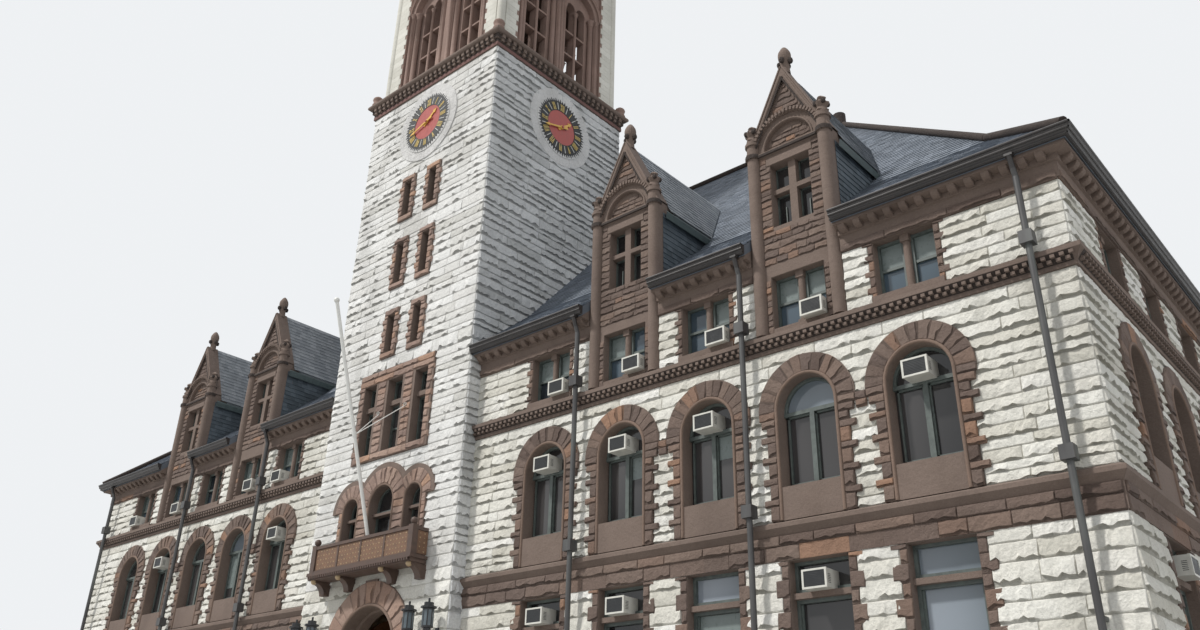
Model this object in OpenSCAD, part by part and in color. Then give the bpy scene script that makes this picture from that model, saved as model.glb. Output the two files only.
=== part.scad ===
// Stone town hall with a square clock tower in the middle of its front.
// Scale model at 1:2, in model millimetres. X runs along the front, Y into the
// building from the front wall's face, Z up from the ground. X = 0 is the
// middle of the tower.

/* [Main block] */
// Length of the front, outside the walls
block_w = 22000; // [21600:100:24000]
// Depth from the front wall's face to the rear wall's face
block_d = 9580; // [9400:20:9800]
// Thickness of the outer stone walls
wall_t = 350; // [250:10:400]
// Height of the base course
base_h = 1000; // [800:20:1100]
// How far the base course stands out
base_out = 60; // [20:5:80]

/* [Floors] */
// Height of the first floor above the ground
first_floor_z = 1170; // [1120:10:1250]
// Height of the second floor
second_floor_z = 3900; // [3840:10:4000]
// Height of the third floor
third_floor_z = 5920; // [5860:10:6000]
// Height of the attic floor
attic_floor_z = 7400; // [7250:10:7440]
// Thickness of the floors
floor_t = 150; // [100:10:200]

/* [Windows] */
// Distance from the tower's middle to the first window of a wing
bay_first = 3470; // [3400:10:3500]
// Spacing of the windows along the front
bay_pitch = 1430; // [1410:5:1440]
// Windows in each wing
bay_count = 5; // [5:1:5]
// Spacing of the windows on the end walls
side_pitch = 1620; // [1560:10:1660]
// Width of the windows of the first storey
win1_w = 750; // [650:10:780]
// Sill of the windows of the first storey
win1_sill_z = 1750; // [1650:10:1900]
// Head of the windows of the first storey
win1_head_z = 3355; // [3300:5:3360]
// Underside of their stone transom
transom1_z = 2935; // [2900:5:2960]
// Height of the stone transom
transom1_h = 65; // [40:5:90]
// Width of the round-arched windows of the second storey
win2_w = 770; // [700:10:800]
// Sill of the second storey windows
win2_sill_z = 4200; // [4180:5:4260]
// Springing of the second storey arches
win2_spring_z = 5145; // [5100:5:5160]
// Depth of an arch ring, from the opening to its outside
ring_w = 265; // [200:5:280]
// How far arch rings and other trim stand out
trim_out = 40; // [20:5:60]
// Width of the paired windows of the third storey
win3_w = 765; // [700:5:800]
// Sill of the third storey windows
win3_sill_z = 6250; // [6240:5:6280]
// Head of the third storey windows
win3_head_z = 6980; // [6900:5:6990]
// Width of the mullion between paired windows
mullion_w = 110; // [80:5:130]
// Thickness of the window glass
glass_t = 12; // [8:1:20]
// How far the glass lies behind the wall's face
glass_in = 160; // [120:5:200]

/* [Roof] */
// Height of the eaves
eave_z = 7465; // [7455:5:7500]
// How far the eaves reach out from the walls
eave_out = 210; // [180:5:230]
// Length in plan of the flatter foot of the roof
foot_run = 1180; // [1000:20:1250]
// Slope of the foot, as rise over run
foot_slope = 0.83; // [0.78:0.01:0.9]
// Slope of the main roof, as rise over run
main_slope = 1.1; // [1.05:0.01:1.15]
// Upright thickness of the roof
roof_v = 150; // [100:10:200]

/* [Dormers] */
// Width of a dormer
dormer_w = 1275; // [1200:5:1300]
// Thickness of a dormer's front
dormer_t = 350; // [250:10:400]
// Radius of the round shafts at a dormer's corners
shaft_r = 88; // [70:2:100]
// Sill of the dormer window
dormer_sill_z = 7700; // [7650:10:7760]
// Head of the dormer window
dormer_head_z = 8675; // [8600:5:8700]
// Width of the dormer window
dormer_win_w = 600; // [500:10:640]
// Foot of the gable, where its string course lies
gable_z = 8900; // [8860:10:8950]
// Top of the gable
gable_top_z = 10200; // [10150:10:10250]

/* [Tower] */
// Width of the tower
tower_w = 3720; // [3640:20:3760]
// Depth of the tower
tower_d = 3560; // [3520:20:3600]
// How far the tower stands out in front of the wings
tower_out = 250; // [200:10:300]
// Thickness of the tower's walls
tower_t = 400; // [350:10:450]
// Underside of the tower cornice
shaft_top_z = 13715; // [13680:5:13800]
// Top of the tower cornice
cornice_z = 14080; // [14000:10:14150]
// Top of the belfry walls
belfry_z = 17500; // [17400:20:17600]
// Width of a belfry corner pier
pier_w = 410; // [380:10:430]
// Foot of the spire roof
spire_z = 18000; // [17900:20:18100]
// Tip of the spire roof
spire_tip_z = 23700; // [23000:50:23800]

/* [Entrance and balcony] */
// Width of the entrance doorway
door_w = 1400; // [1300:20:1440]
// Springing of the entrance arch
door_spring_z = 2845; // [2800:5:2860]
// Outside radius of the entrance arch ring
door_ring_r = 1080; // [1000:10:1090]
// Number of entrance steps
step_count = 14; // [12:1:16]
// Depth of one entrance step
step_run = 150; // [130:5:170]
// Half of the balcony's length
balcony_half = 1300; // [1250:10:1340]
// How far the balcony stands out from the tower
balcony_out = 350; // [300:10:400]
// Underside of the balcony
balcony_z = 4030; // [4010:5:4050]
// Thickness of the balcony's slab
balcony_slab = 120; // [100:5:130]
// Height of the balcony's parapet
parapet_h = 380; // [340:10:420]

/* [Clock] */
// Height of the dials' middle
dial_z = 12790; // [12740:10:12820]
// Radius of the round stone surround
surround_r = 850; // [800:10:880]
// Radius of a dial
dial_r = 585; // [540:5:620]
// Length of a minute hand from its hub
minute_len = 500; // [460:5:520]
// Length of an hour hand from its hub
hour_len = 340; // [300:5:380]
// Thickness of a hand
hand_t = 10; // [8:1:12]
// Gap between a hand and what lies behind it
hand_gap = 8; // [6:1:10]
// Time shown, as the minute hand's angle clockwise from twelve
minute_angle = 252; // [0:1:359]
// Time shown, as the hour hand's angle clockwise from twelve
hour_angle = 51; // [0:1:359]

/* [Hidden] */
$fn = 48;

eps = 0.3;
joint_gap = 2;
cut = 50;
half_w = block_w / 2;
eave_x = half_w + eave_out;
ridge_run = block_d / 2 + eave_out;
foot_top_z = eave_z + foot_run * foot_slope;
ridge_z = foot_top_z + (ridge_run - foot_run) * main_slope;
ridge_y = block_d / 2;
ridge_half = eave_x - ridge_run;
wing_bays = [for (i = [0 : bay_count - 1]) bay_first + i * bay_pitch];
dormer_bays = [1, 3];
front_bays = concat([for (u = wing_bays) -u], wing_bays);
mid_bays = [bay_first - bay_pitch, bay_first - 2 * bay_pitch];
rear_bays = concat(front_bays, mid_bays, [for (u = mid_bays) -u]);
side_bays = [for (i = [-2 : 2]) block_d / 2 + i * side_pitch];
dormer_x = concat([for (i = dormer_bays) wing_bays[i]], [for (i = dormer_bays) -wing_bays[i]]);
function dormer_bay(u) = len([for (x = dormer_x) if (abs(u - x) < 1) x]) > 0;

tower_half = tower_w / 2;
tower_front = -tower_out;
tower_back = tower_d - tower_out;
tower_mid = (tower_front + tower_back) / 2;
tower_in = tower_half - tower_t;

string1_z = 3375;
string1_top = 3810;
roll1_h = 170;
roll1_out = 80;
band1_out = 15;
string2_z = 5925;
string2_top = 6175;
roll2_h = 190;
roll2_out = 110;
band2_out = 30;
dormer_bar_z = 8230;
dormer_bar_h = 70;
arch_bar_z = 5000;
arch_bar_h = 45;
triple_bar_z = 6925;
triple_bar_h = 85;
frieze_z = 7000;
cornice_run_z = 7200;
gutter_z = 7330;
door_top_z = string1_top + 140;

// Puts a wall's own axes in place: u along it, v inwards from its face
module on_front() children();
module on_rear() translate([0, block_d, 0]) rotate([0, 0, 180]) children();
module on_right() translate([half_w, 0, 0]) rotate([0, 0, 90]) children();
module on_left() translate([-half_w, block_d, 0]) rotate([0, 0, -90]) children();

// A box from one corner to the opposite one
module block(a, b) translate(a) cube(b - a);

// Repeats something on the four faces of the tower
module tower_faces(faces = [0 : 3]) {
    for (i = faces)
        translate([0, tower_mid, 0]) rotate([0, 0, 90 * i])
            translate([0, i % 2 == 0 ? -tower_d / 2 : -tower_half, 0]) children();
}

// Extrudes a flat (v, z) outline along u
module along(u0, u1) {
    translate([u0, 0, 0]) rotate([90, 0, 90]) linear_extrude(u1 - u0) children();
}

// Extrudes a flat (u, z) outline inwards from v0 to v1
module inwards(v0, v1) {
    translate([0, v1, 0]) rotate([90, 0, 0]) linear_extrude(v1 - v0) children();
}

// Half a disc that stands on its diameter
module half_disc(r) {
    intersection() {
        circle(r, $fn = 96);
        translate([-r, 0]) square([2 * r, r]);
    }
}

// The outline of a round-headed opening
module round_head(w, sill, spring) {
    translate([-w / 2, sill]) square([w, spring - sill]);
    translate([0, spring]) circle(w / 2, $fn = 96);
}

// The mass under the roof's outer surface, lowered by a drop
module roof_mass(drop) {
    intersection() {
        along(-eave_x - cut, eave_x + cut) polygon([
            [-eave_out, 0], [-eave_out, eave_z - drop],
            [foot_run - eave_out, foot_top_z - drop], [ridge_y, ridge_z - drop],
            [block_d + eave_out - foot_run, foot_top_z - drop],
            [block_d + eave_out, eave_z - drop], [block_d + eave_out, 0]]);
        inwards(-eave_out - cut, block_d + eave_out + cut) polygon([
            [-eave_x, 0], [-eave_x, eave_z - drop],
            [foot_run - eave_x, foot_top_z - drop], [-ridge_half, ridge_z - drop],
            [ridge_half, ridge_z - drop], [eave_x - foot_run, foot_top_z - drop],
            [eave_x, eave_z - drop], [eave_x, 0]]);
    }
}

module roof_shell() {
    difference() {
        roof_mass(0);
        roof_mass(roof_v);
    }
}

// Openings of one bay, cut through a wall
module bay_cuts(u) {
    translate([u, 0, 0]) {
        block([-win1_w / 2, -cut, win1_sill_z], [win1_w / 2, wall_t + cut, win1_head_z]);
        inwards(-cut, wall_t + cut) round_head(win2_w, win2_sill_z, win2_spring_z);
        block([-win3_w / 2, -cut, win3_sill_z], [win3_w / 2, wall_t + cut, win3_head_z]);
    }
}

// A stretch of wall with its base course
module wall_run(u0, u1) {
    block([u0, 0, 0], [u1, wall_t, ridge_z]);
    along(u0, u1) polygon([[0, 0], [-base_out, 0], [-base_out, base_h], [0, base_h + base_out]]);
}

// Notch for a dormer's front, above the upper string course
module dormer_notch(u, v1) {
    block([u - dormer_w / 2, -cut, string2_top], [u + dormer_w / 2, v1, ridge_z]);
}

module front_walls() color("ivory") {
    for (s = [-1, 1]) difference() {
        intersection() {
            wall_run(s > 0 ? tower_half : -half_w, s > 0 ? half_w : -tower_half);
            union() {
                roof_mass(roof_v);
                block([-eave_x, -eave_out, 0], [eave_x, wall_t, eave_z - roof_v]);
            }
        }
        for (u = wing_bays) bay_cuts(s * u);
        for (i = dormer_bays) dormer_notch(s * wing_bays[i], wall_t + cut);
    }
}

module end_walls() color("ivory") {
    for (s = [0, 1]) mirror([s, 0, 0]) difference() {
        intersection() {
            on_right() wall_run(wall_t, block_d - wall_t);
            roof_mass(roof_v);
        }
        on_right() for (u = side_bays) bay_cuts(u);
    }
}

module rear_wall() color("ivory") {
    difference() {
        intersection() {
            on_rear() wall_run(-half_w, half_w);
            roof_mass(roof_v);
        }
        on_rear() for (u = rear_bays) bay_cuts(u);
        on_rear() for (u = dormer_x) dormer_notch(u, wall_t + cut);
    }
}

// Tower

keystone_half = 150;
module entrance_piers() color("ivory") {
    for (s = [0, 1]) mirror([s, 0, 0])
        inwards(tower_front, tower_front + tower_t) difference() {
            union() {
                translate([door_w / 2, 0]) square([tower_half - door_w / 2, door_top_z]);
                translate([keystone_half, door_spring_z])
                    square([tower_half - keystone_half, door_top_z - door_spring_z]);
            }
            translate([0, door_spring_z]) half_disc(door_ring_r);
        }
}

module entrance_arch() color("sienna") {
    inwards(tower_front - trim_out, tower_front + tower_t) difference() {
        union() {
            translate([0, door_spring_z]) half_disc(door_ring_r);
            translate([-keystone_half, door_spring_z]) square([2 * keystone_half, door_top_z - door_spring_z]);
        }
        translate([0, door_spring_z]) circle(door_w / 2, $fn = 96);
    }
}

step_rise = first_floor_z / step_count;
step_half = door_w / 2 + 350;
cheek_w = 260;
stair_run = step_count * step_run;
step_outline = [for (i = [0 : step_count - 1], j = [0, 1])
    [tower_front - stair_run + i * step_run, (i + j) * step_rise]];
module entrance_steps() color("tan") {
    along(-step_half, step_half) polygon(concat(step_outline, [[tower_front, first_floor_z], [tower_front, 0]]));
    block([-door_w / 2 + eps, tower_front + eps, 0],
          [door_w / 2 - eps, tower_front + tower_t, first_floor_z]);
    for (s = [0, 1]) mirror([s, 0, 0])
        block([step_half + joint_gap, tower_front - stair_run, 0],
              [step_half + cheek_w, tower_front - eps, first_floor_z + step_rise]);
}

leaf_t = 50;
hinge_in = 60;
module entrance_doors() color("saddlebrown") {
    for (s = [0, 1]) mirror([s, 0, 0])
        translate([door_w / 2 + hinge_in, tower_front + tower_t + eps, 0]) rotate([0, 0, 90])
            inwards(0, leaf_t) intersection() {
                translate([door_w / 2, 0]) round_head(door_w - 2 * joint_gap, first_floor_z + eps, door_spring_z);
                translate([joint_gap, 0]) square([door_w / 2 - 2 * joint_gap, door_top_z]);
            }
}

// Openings in the tower's front wall
side_arch_x = 812;
side_arch_w = 385;
mid_arch_w = 600;
arch_spring_z = 5170;
side_ring_r = 515;
mid_ring_r = 690;
arches_half = 1130;
triple_side_x = 692;
triple_side_w = 335;
triple_mid_w = 400;
triple_sill_z = 6100;
triple_head_z = 7385;
triple_frame = 140;
triple_half = 1000;
triple_bottom_z = 5975;
triple_top_z = 7615;
slit_x = 365;
slit_w = 200;
slit_rows = [[7960, 8700], [9350, 10185], [10800, 11570]];
balcony_floor_z = balcony_z + balcony_slab;

module tower_arches(grow = 0) {
    for (s = [-1, 1]) translate([s * side_arch_x, 0])
        round_head(side_arch_w + 2 * grow, balcony_floor_z, arch_spring_z);
    round_head(mid_arch_w + 2 * grow, balcony_floor_z, arch_spring_z);
}

module triple_lights() {
    for (s = [-1, 1]) translate([s * triple_side_x - triple_side_w / 2, triple_sill_z])
        square([triple_side_w, triple_head_z - triple_sill_z]);
    translate([-triple_mid_w / 2, triple_sill_z]) square([triple_mid_w, triple_head_z - triple_sill_z]);
}

module slits(grow = 0) {
    for (s = [-1, 1], row = slit_rows)
        translate([s * slit_x - slit_w / 2 - grow, row[0] - grow])
            square([slit_w + 2 * grow, row[1] - row[0] + 2 * grow]);
}

module tower_front_wall() color("ivory") {
    difference() {
        block([-tower_half, tower_front, door_top_z], [tower_half, tower_front + tower_t, shaft_top_z]);
        inwards(tower_front - cut, tower_front + tower_t + cut) {
            tower_arches();
            triple_lights();
            slits();
        }
    }
}

module tower_side_walls() color("ivory") {
    for (s = [0, 1]) mirror([s, 0, 0])
        block([tower_in, tower_front + tower_t, 0], [tower_half, tower_back - tower_t, shaft_top_z]);
}

passage_w = 1400;
passage_h = 1100;
passage_z = [first_floor_z, second_floor_z, third_floor_z];
// Two jambs over the full height, with blocks of wall under, between and over the passages
module tower_rear_wall() color("ivory") {
    v0 = tower_back - tower_t;
    for (s = [0, 1]) mirror([s, 0, 0])
        block([passage_w / 2 + eps, v0, 0], [tower_half, tower_back, shaft_top_z]);
    feet = concat([0], [for (z = passage_z) z + passage_h]);
    heads = concat(passage_z, [shaft_top_z]);
    for (i = [0 : len(heads) - 1])
        block([-passage_w / 2, v0, feet[i]], [passage_w / 2, tower_back, heads[i]]);
}

// Floors: one slab round the tower and one inside it
module floor_slab(z) {
    difference() {
        block([-half_w + wall_t, wall_t, z - floor_t], [half_w - wall_t, block_d - wall_t, z]);
        block([-tower_half, 0, 0], [tower_half, tower_back, ridge_z]);
    }
    block([-tower_in, tower_front + tower_t, z - floor_t], [tower_in, tower_back - tower_t, z]);
}

module first_floor() color("burlywood") floor_slab(first_floor_z);
module second_floor() color("burlywood") floor_slab(second_floor_z);
module third_floor() color("burlywood") floor_slab(third_floor_z);
module attic_floor() color("burlywood") floor_slab(attic_floor_z);
module belfry_floor() color("burlywood") {
    block([-tower_in, tower_front + tower_t, shaft_top_z - floor_t],
          [tower_in, tower_back - tower_t, shaft_top_z]);
}

// Roof

dormer_drop = 30;
dormer_roof_v = 130;
dormer_slope = 2 * (gable_top_z - gable_z) / dormer_w;
function dormer_top(u) = gable_top_z - dormer_drop - abs(u) * dormer_slope;
dormer_back_run = foot_run + (dormer_top(dormer_w / 2) - dormer_roof_v - foot_top_z) / main_slope;
module dormer_holes() {
    for (u = dormer_x) block([u - dormer_w / 2, -eave_out - cut, 0],
                             [u + dormer_w / 2, dormer_back_run - eave_out, ridge_z + cut]);
}

module roof_front() color("slategray") {
    for (s = [0, 1]) mirror([s, 0, 0]) difference() {
        intersection() {
            roof_shell();
            linear_extrude(ridge_z + cut) polygon([
                [tower_half, -eave_out], [eave_x, -eave_out],
                [ridge_half, ridge_y], [tower_half, ridge_y]]);
        }
        dormer_holes();
    }
}

module roof_behind_tower() color("slategray") {
    intersection() {
        roof_shell();
        block([-tower_half, tower_back, 0], [tower_half, ridge_y, ridge_z + cut]);
    }
}

module roof_rear() color("slategray") {
    difference() {
        intersection() {
            roof_shell();
            linear_extrude(ridge_z + cut) polygon([
                [-ridge_half, ridge_y], [ridge_half, ridge_y],
                [eave_x, block_d + eave_out], [-eave_x, block_d + eave_out]]);
        }
        on_rear() dormer_holes();
    }
}

module roof_ends() color("slategray") {
    for (s = [0, 1]) mirror([s, 0, 0]) intersection() {
        roof_shell();
        linear_extrude(ridge_z + cut) polygon([
            [ridge_half, ridge_y], [eave_x, -eave_out], [eave_x, block_d + eave_out]]);
    }
}

cap_r = 50;
hip_clear = 240;
bend_gap = 20;
terminal_r = 120;
terminal_h = 260;
// A round bar from one point to another
module bar(from, to, r) {
    way = to - from;
    translate(from) rotate([0, acos(way[2] / norm(way)), atan2(way[1], way[0])]) cylinder(r = r, h = norm(way));
}

// A cap along a sloping hip, lying on it with a small gap
module hip_cap(from, to, r) {
    way = to - from;
    off = cross(cross(way, [0, 0, 1]), way);
    lift = off * ((cap_r + eps) / norm(off));
    bar(from + lift, to + lift, r);
}

module hip_caps(r) {
    top = [ridge_half, ridge_y, ridge_z];
    bend = [eave_x - foot_run, foot_run - eave_out, foot_top_z];
    foot = [eave_x, -eave_out, eave_z];
    steep = (bend - top) / norm(bend - top);
    for (x = [0, 1], y = [0, 1]) mirror([x, 0, 0]) translate([0, ridge_y, 0]) mirror([0, y, 0])
        translate([0, -ridge_y, 0]) {
            hip_cap(top + steep * hip_clear, bend - steep * bend_gap, r);
            hip_cap(bend, foot, r);
        }
}

module ridge_and_hip_caps() color("sienna") {
    bar([-ridge_half, ridge_y, ridge_z + cap_r], [ridge_half, ridge_y, ridge_z + cap_r], cap_r);
    for (s = [-1, 1])
        translate([s * ridge_half, ridge_y, ridge_z]) cylinder(r = terminal_r, h = terminal_h);
    hip_caps(cap_r);
}

// Dormers

dormer_half = dormer_w / 2;
tympanum_r = 368;
arch_out_r = 560;
coping_t = 110;
coping_out = 40;
module dormer_front_outline() {
    polygon([[-dormer_half, string2_top], [dormer_half, string2_top], [dormer_half, gable_z],
             [0, gable_top_z], [-dormer_half, gable_z]]);
}

module dormer_gable() {
    difference() {
        union() {
            inwards(0, dormer_t) dormer_front_outline();
            inwards(-coping_out, 0) difference() {
                dormer_front_outline();
                translate([0, -coping_t * 1.6]) dormer_front_outline();
                translate([-dormer_half, 0]) square([dormer_w, gable_z]);
            }
            along(-dormer_half, dormer_half) polygon([
                [0, gable_z - 60], [-45, gable_z - 40], [-45, gable_z], [0, gable_z + 20]]);
            translate([0, 0, gable_z]) inwards(-coping_out, 0) difference() {
                half_disc(arch_out_r);
                circle(arch_out_r - 60, $fn = 96);
            }
            for (s = [-1, 1]) translate([s * (dormer_half - shaft_r), 0, 0]) {
                translate([0, 0, string2_top]) cylinder(r = shaft_r, h = gable_z + 260 - string2_top);
                translate([0, 0, gable_z - 40]) cylinder(r = shaft_r + 22, h = 50);
                translate([0, 0, gable_z + 170]) cylinder(r = shaft_r + 22, h = 40);
                translate([0, 0, gable_z + 260]) cylinder(r1 = shaft_r, r2 = 20, h = 265);
            }
            translate([0, dormer_t / 4, gable_top_z - 60]) cylinder(r = 60, h = 260);
            translate([0, dormer_t / 4, gable_top_z + 270]) sphere(r = 90);
        }
        block([-win3_w / 2, -cut, win3_sill_z], [win3_w / 2, dormer_t + cut, win3_head_z]);
        block([-dormer_win_w / 2, -cut, dormer_sill_z], [dormer_win_w / 2, dormer_t + cut, dormer_head_z]);
        translate([0, 0, gable_z + 20]) inwards(-cut, 60) half_disc(tympanum_r);
    }
    inwards(60, 180) {
        translate([-mullion_w / 2, dormer_sill_z]) square([mullion_w, dormer_head_z - dormer_sill_z]);
        translate([-dormer_win_w / 2, dormer_bar_z]) square([dormer_win_w, dormer_bar_h]);
    }
}

module dormer_gables() color("rosybrown") {
    for (u = dormer_x) translate([u, 0, 0]) dormer_gable();
    on_rear() for (u = dormer_x) translate([u, 0, 0]) dormer_gable();
}

cheek_t = 120;
module dormer_cheek_pair() {
    v1 = dormer_back_run - eave_out;
    for (s = [0, 1]) mirror([s, 0, 0]) difference() {
        inwards(dormer_t, v1) polygon([
            [dormer_half - cheek_t, 0], [dormer_half, 0],
            [dormer_half, dormer_top(dormer_half) - dormer_roof_v - eps],
            [dormer_half - cheek_t, dormer_top(dormer_half - cheek_t) - dormer_roof_v - eps]]);
        roof_mass_local(roof_v);
    }
}

// The mass under the front slope's underside, in a dormer's own axes
module roof_mass_local(drop) {
    along(-dormer_w, dormer_w) polygon([
        [-eave_out, -cut], [-eave_out, eave_z - drop],
        [foot_run - eave_out, foot_top_z - drop], [ridge_y, ridge_z - drop], [ridge_y, -cut]]);
}

module dormer_cheeks() color("slategray") {
    for (u = dormer_x) translate([u, 0, 0]) dormer_cheek_pair();
    on_rear() for (u = dormer_x) translate([u, 0, 0]) dormer_cheek_pair();
}

dormer_eave = 60;
module dormer_roof() {
    reach = dormer_half + dormer_eave;
    difference() {
        inwards(dormer_t + eps, ridge_y - eave_out) polygon([
            [-reach, dormer_top(reach) - dormer_roof_v], [0, dormer_top(0) - dormer_roof_v],
            [reach, dormer_top(reach) - dormer_roof_v], [reach, dormer_top(reach)],
            [0, dormer_top(0)], [-reach, dormer_top(reach)]]);
        roof_mass_local(0);
    }
}

module dormer_roofs() color("slategray") {
    difference() {
        union() {
            for (u = dormer_x) translate([u, 0, 0]) dormer_roof();
            on_rear() for (u = dormer_x) translate([u, 0, 0]) dormer_roof();
        }
        hip_caps(cap_r + joint_gap);
    }
}

// Trim on the main block

// A run of moulding from u0 to u1, mitred at the ends that turn a corner
module mitred_run(u0, u1, turn0, turn1, out = 400) {
    intersection() {
        along(u0 - out, u1 + out) children();
        linear_extrude(ridge_z) polygon([
            [u0, 0], [u1, 0], [u1 + turn1 * out, -out], [u0 - turn0 * out, -out]]);
    }
}

// The same moulding on all four walls, with a mortar joint at each corner
module wall_runs() {
    mitred_run(tower_half, half_w - joint_gap, 0, 1) children();
    mitred_run(-half_w + joint_gap, -tower_half, 1, 0) children();
    on_rear() mitred_run(-half_w + joint_gap, half_w - joint_gap, 1, 1) children();
    on_right() mitred_run(0, block_d, 1, 1) children();
    on_left() mitred_run(0, block_d, 1, 1) children();
}

// A band of stone from one height to another, with a roll moulding along its top
module roll_course(z0, z1, roll_h, band, out) {
    polygon([[0, z0], [-band, z0], [-band, z1 - roll_h], [-out * 0.6, z1 - roll_h * 0.72],
             [-out, z1 - roll_h * 0.48], [-out, z1 - roll_h * 0.2], [-band, z1], [0, z1]]);
}

module string_courses() color("rosybrown") {
    wall_runs() roll_course(string1_z, string1_top, roll1_h, band1_out, roll1_out);
    wall_runs() roll_course(string2_z, string2_top, roll2_h, band2_out, roll2_out);
}

function roof_under(v) = eave_z + (v + eave_out) * foot_slope - roof_v;

module dormer_gaps() {
    for (u = dormer_x) block([u - dormer_half, -2 * eave_out, frieze_z - cut],
                             [u + dormer_half, cut, ridge_z]);
}

module eaves_cornice() color("rosybrown") {
    nose = eave_out - 20;
    difference() {
        wall_runs() polygon([
            [0, frieze_z], [-30, frieze_z], [-30, cornice_run_z - 10], [-60, cornice_run_z],
            [-60, cornice_run_z + 70], [-nose, cornice_run_z + 90],
            [-nose, roof_under(-nose) - eps], [0, roof_under(0) - eps]]);
        dormer_gaps();
        on_rear() dormer_gaps();
    }
}

gutter_out = 80;
holdfast_z = 2400;
holdfast_h = 40;
pipe_r = 36;
neck_r = 32;
pipe_out = 155;
pipe_x = [bay_first + bay_pitch / 2 - 60, bay_first + 2.5 * bay_pitch - 60, half_w - 380];
module downpipe(u) {
    neck_top = [-eave_out - gutter_out / 2, gutter_z - 30];
    neck_foot = [-pipe_out, gutter_z - 250];
    fall = neck_top - neck_foot;
    lean = atan2(-fall[0], fall[1]);
    translate([u, -pipe_out, base_h + base_out]) cylinder(r = pipe_r, h = neck_foot[1] - base_h - base_out);
    translate([u, neck_foot[0], neck_foot[1]]) rotate([lean, 0, 0])
        translate([0, 0, -10]) cylinder(r = neck_r, h = norm(fall) + 25);
    block([u - 45, -eave_out - gutter_out + 2, neck_top[1]], [u + 45, -eave_out - eps, gutter_z - eps]);
    for (z = [string2_top + 60, string1_top + 60])
        block([u - 70, -pipe_out - 70, z], [u + 70, -pipe_out + 70, z + 150]);
    block([u - 30, -pipe_out, holdfast_z], [u + 30, -eps, holdfast_z + holdfast_h]);
}

module gutters_and_downpipes() color("darkslategray") {
    difference() {
        wall_runs() polygon([
            [-eave_out, gutter_z], [-eave_out - 25, gutter_z], [-eave_out - 50, gutter_z + 40],
            [-eave_out - gutter_out, gutter_z + 90], [-eave_out - gutter_out, eave_z],
            [-eave_out, eave_z]]);
        dormer_gaps();
        on_rear() dormer_gaps();
    }
    for (s = [-1, 1], u = pipe_x) {
        downpipe(s * u);
        on_rear() downpipe(s * u);
    }
}

module every_bay() {
    for (u = front_bays) translate([u, 0, 0]) children();
    on_rear() for (u = rear_bays) translate([u, 0, 0]) children();
    on_right() for (u = side_bays) translate([u, 0, 0]) children();
    on_left() for (u = side_bays) translate([u, 0, 0]) children();
}

module every_plain_bay() {
    for (u = front_bays) if (!dormer_bay(u)) translate([u, 0, 0]) children();
    on_rear() for (u = rear_bays) if (!dormer_bay(u)) translate([u, 0, 0]) children();
    on_right() for (u = side_bays) translate([u, 0, 0]) children();
    on_left() for (u = side_bays) translate([u, 0, 0]) children();
}

stone_in = 40;
module first_storey_trim() color("rosybrown") {
    every_bay() {
        block([-win1_w / 2 - 75, -base_out, win1_sill_z - 100], [win1_w / 2 + 75, 0, win1_sill_z]);
        block([-win1_w / 2, stone_in, transom1_z], [win1_w / 2, glass_in - eps, transom1_z + transom1_h]);
    }
}

jamb_w = 110;
apron_h = win2_sill_z - string1_top - eps;
module second_storey_arches() color("sienna") {
    every_bay() inwards(-trim_out, 0) {
        translate([0, win2_spring_z]) difference() {
            half_disc(win2_w / 2 + ring_w);
            circle(win2_w / 2, $fn = 96);
        }
        for (s = [0, 1]) mirror([s, 0]) translate([win2_w / 2, win2_sill_z])
            square([jamb_w, win2_spring_z - win2_sill_z]);
        translate([-win2_w / 2 - jamb_w, win2_sill_z - apron_h]) square([win2_w + 2 * jamb_w, apron_h]);
    }
}

sill_side = 60;
module third_storey_trim() color("sienna") {
    every_plain_bay()
        block([-win3_w / 2 - sill_side, -trim_out, string2_top + eps], [win3_w / 2 + sill_side, 0, win3_sill_z]);
    every_bay() {
        translate([0, (stone_in + glass_in) / 2, win3_sill_z])
            cylinder(r = mullion_w / 2 - 10, h = win3_head_z - win3_sill_z);
        block([-mullion_w / 2, stone_in, win3_head_z - 90], [mullion_w / 2, glass_in - eps, win3_head_z]);
        block([-mullion_w / 2, stone_in, win3_sill_z], [mullion_w / 2, glass_in - eps, win3_sill_z + 50]);
    }
}

module tower_trim() color("sienna") {
    inwards(tower_front - trim_out, tower_front) {
        difference() {
            slits(100);
            slits();
        }
        difference() {
            translate([-triple_half, triple_bottom_z])
                square([2 * triple_half, triple_top_z - triple_bottom_z]);
            triple_lights();
        }
        difference() {
            union() {
                for (s = [-1, 1]) translate([s * side_arch_x, arch_spring_z]) half_disc(side_ring_r);
                translate([0, arch_spring_z]) half_disc(mid_ring_r);
                translate([-arches_half, balcony_floor_z])
                    square([2 * arches_half, arch_spring_z - balcony_floor_z]);
            }
            tower_arches();
        }
    }
    inwards(tower_front + stone_in, tower_front + glass_in - eps) {
        intersection() {
            tower_arches();
            translate([-tower_half, arch_bar_z]) square([tower_w, arch_bar_h]);
        }
        intersection() {
            triple_lights();
            translate([-tower_half, triple_bar_z]) square([tower_w, triple_bar_h]);
        }
    }
}

// Glass

module first_storey_glass() color("steelblue") {
    every_bay() block([-win1_w / 2 + eps, glass_in, win1_sill_z + eps],
                      [win1_w / 2 - eps, glass_in + glass_t, win1_head_z - eps]);
}

module second_storey_glass() color("steelblue") {
    every_bay() inwards(glass_in, glass_in + glass_t)
        round_head(win2_w - 2 * eps, win2_sill_z + eps, win2_spring_z);
}

module third_storey_glass() color("steelblue") {
    every_bay() block([-win3_w / 2 + eps, glass_in, win3_sill_z + eps],
                      [win3_w / 2 - eps, glass_in + glass_t, win3_head_z - eps]);
}

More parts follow.
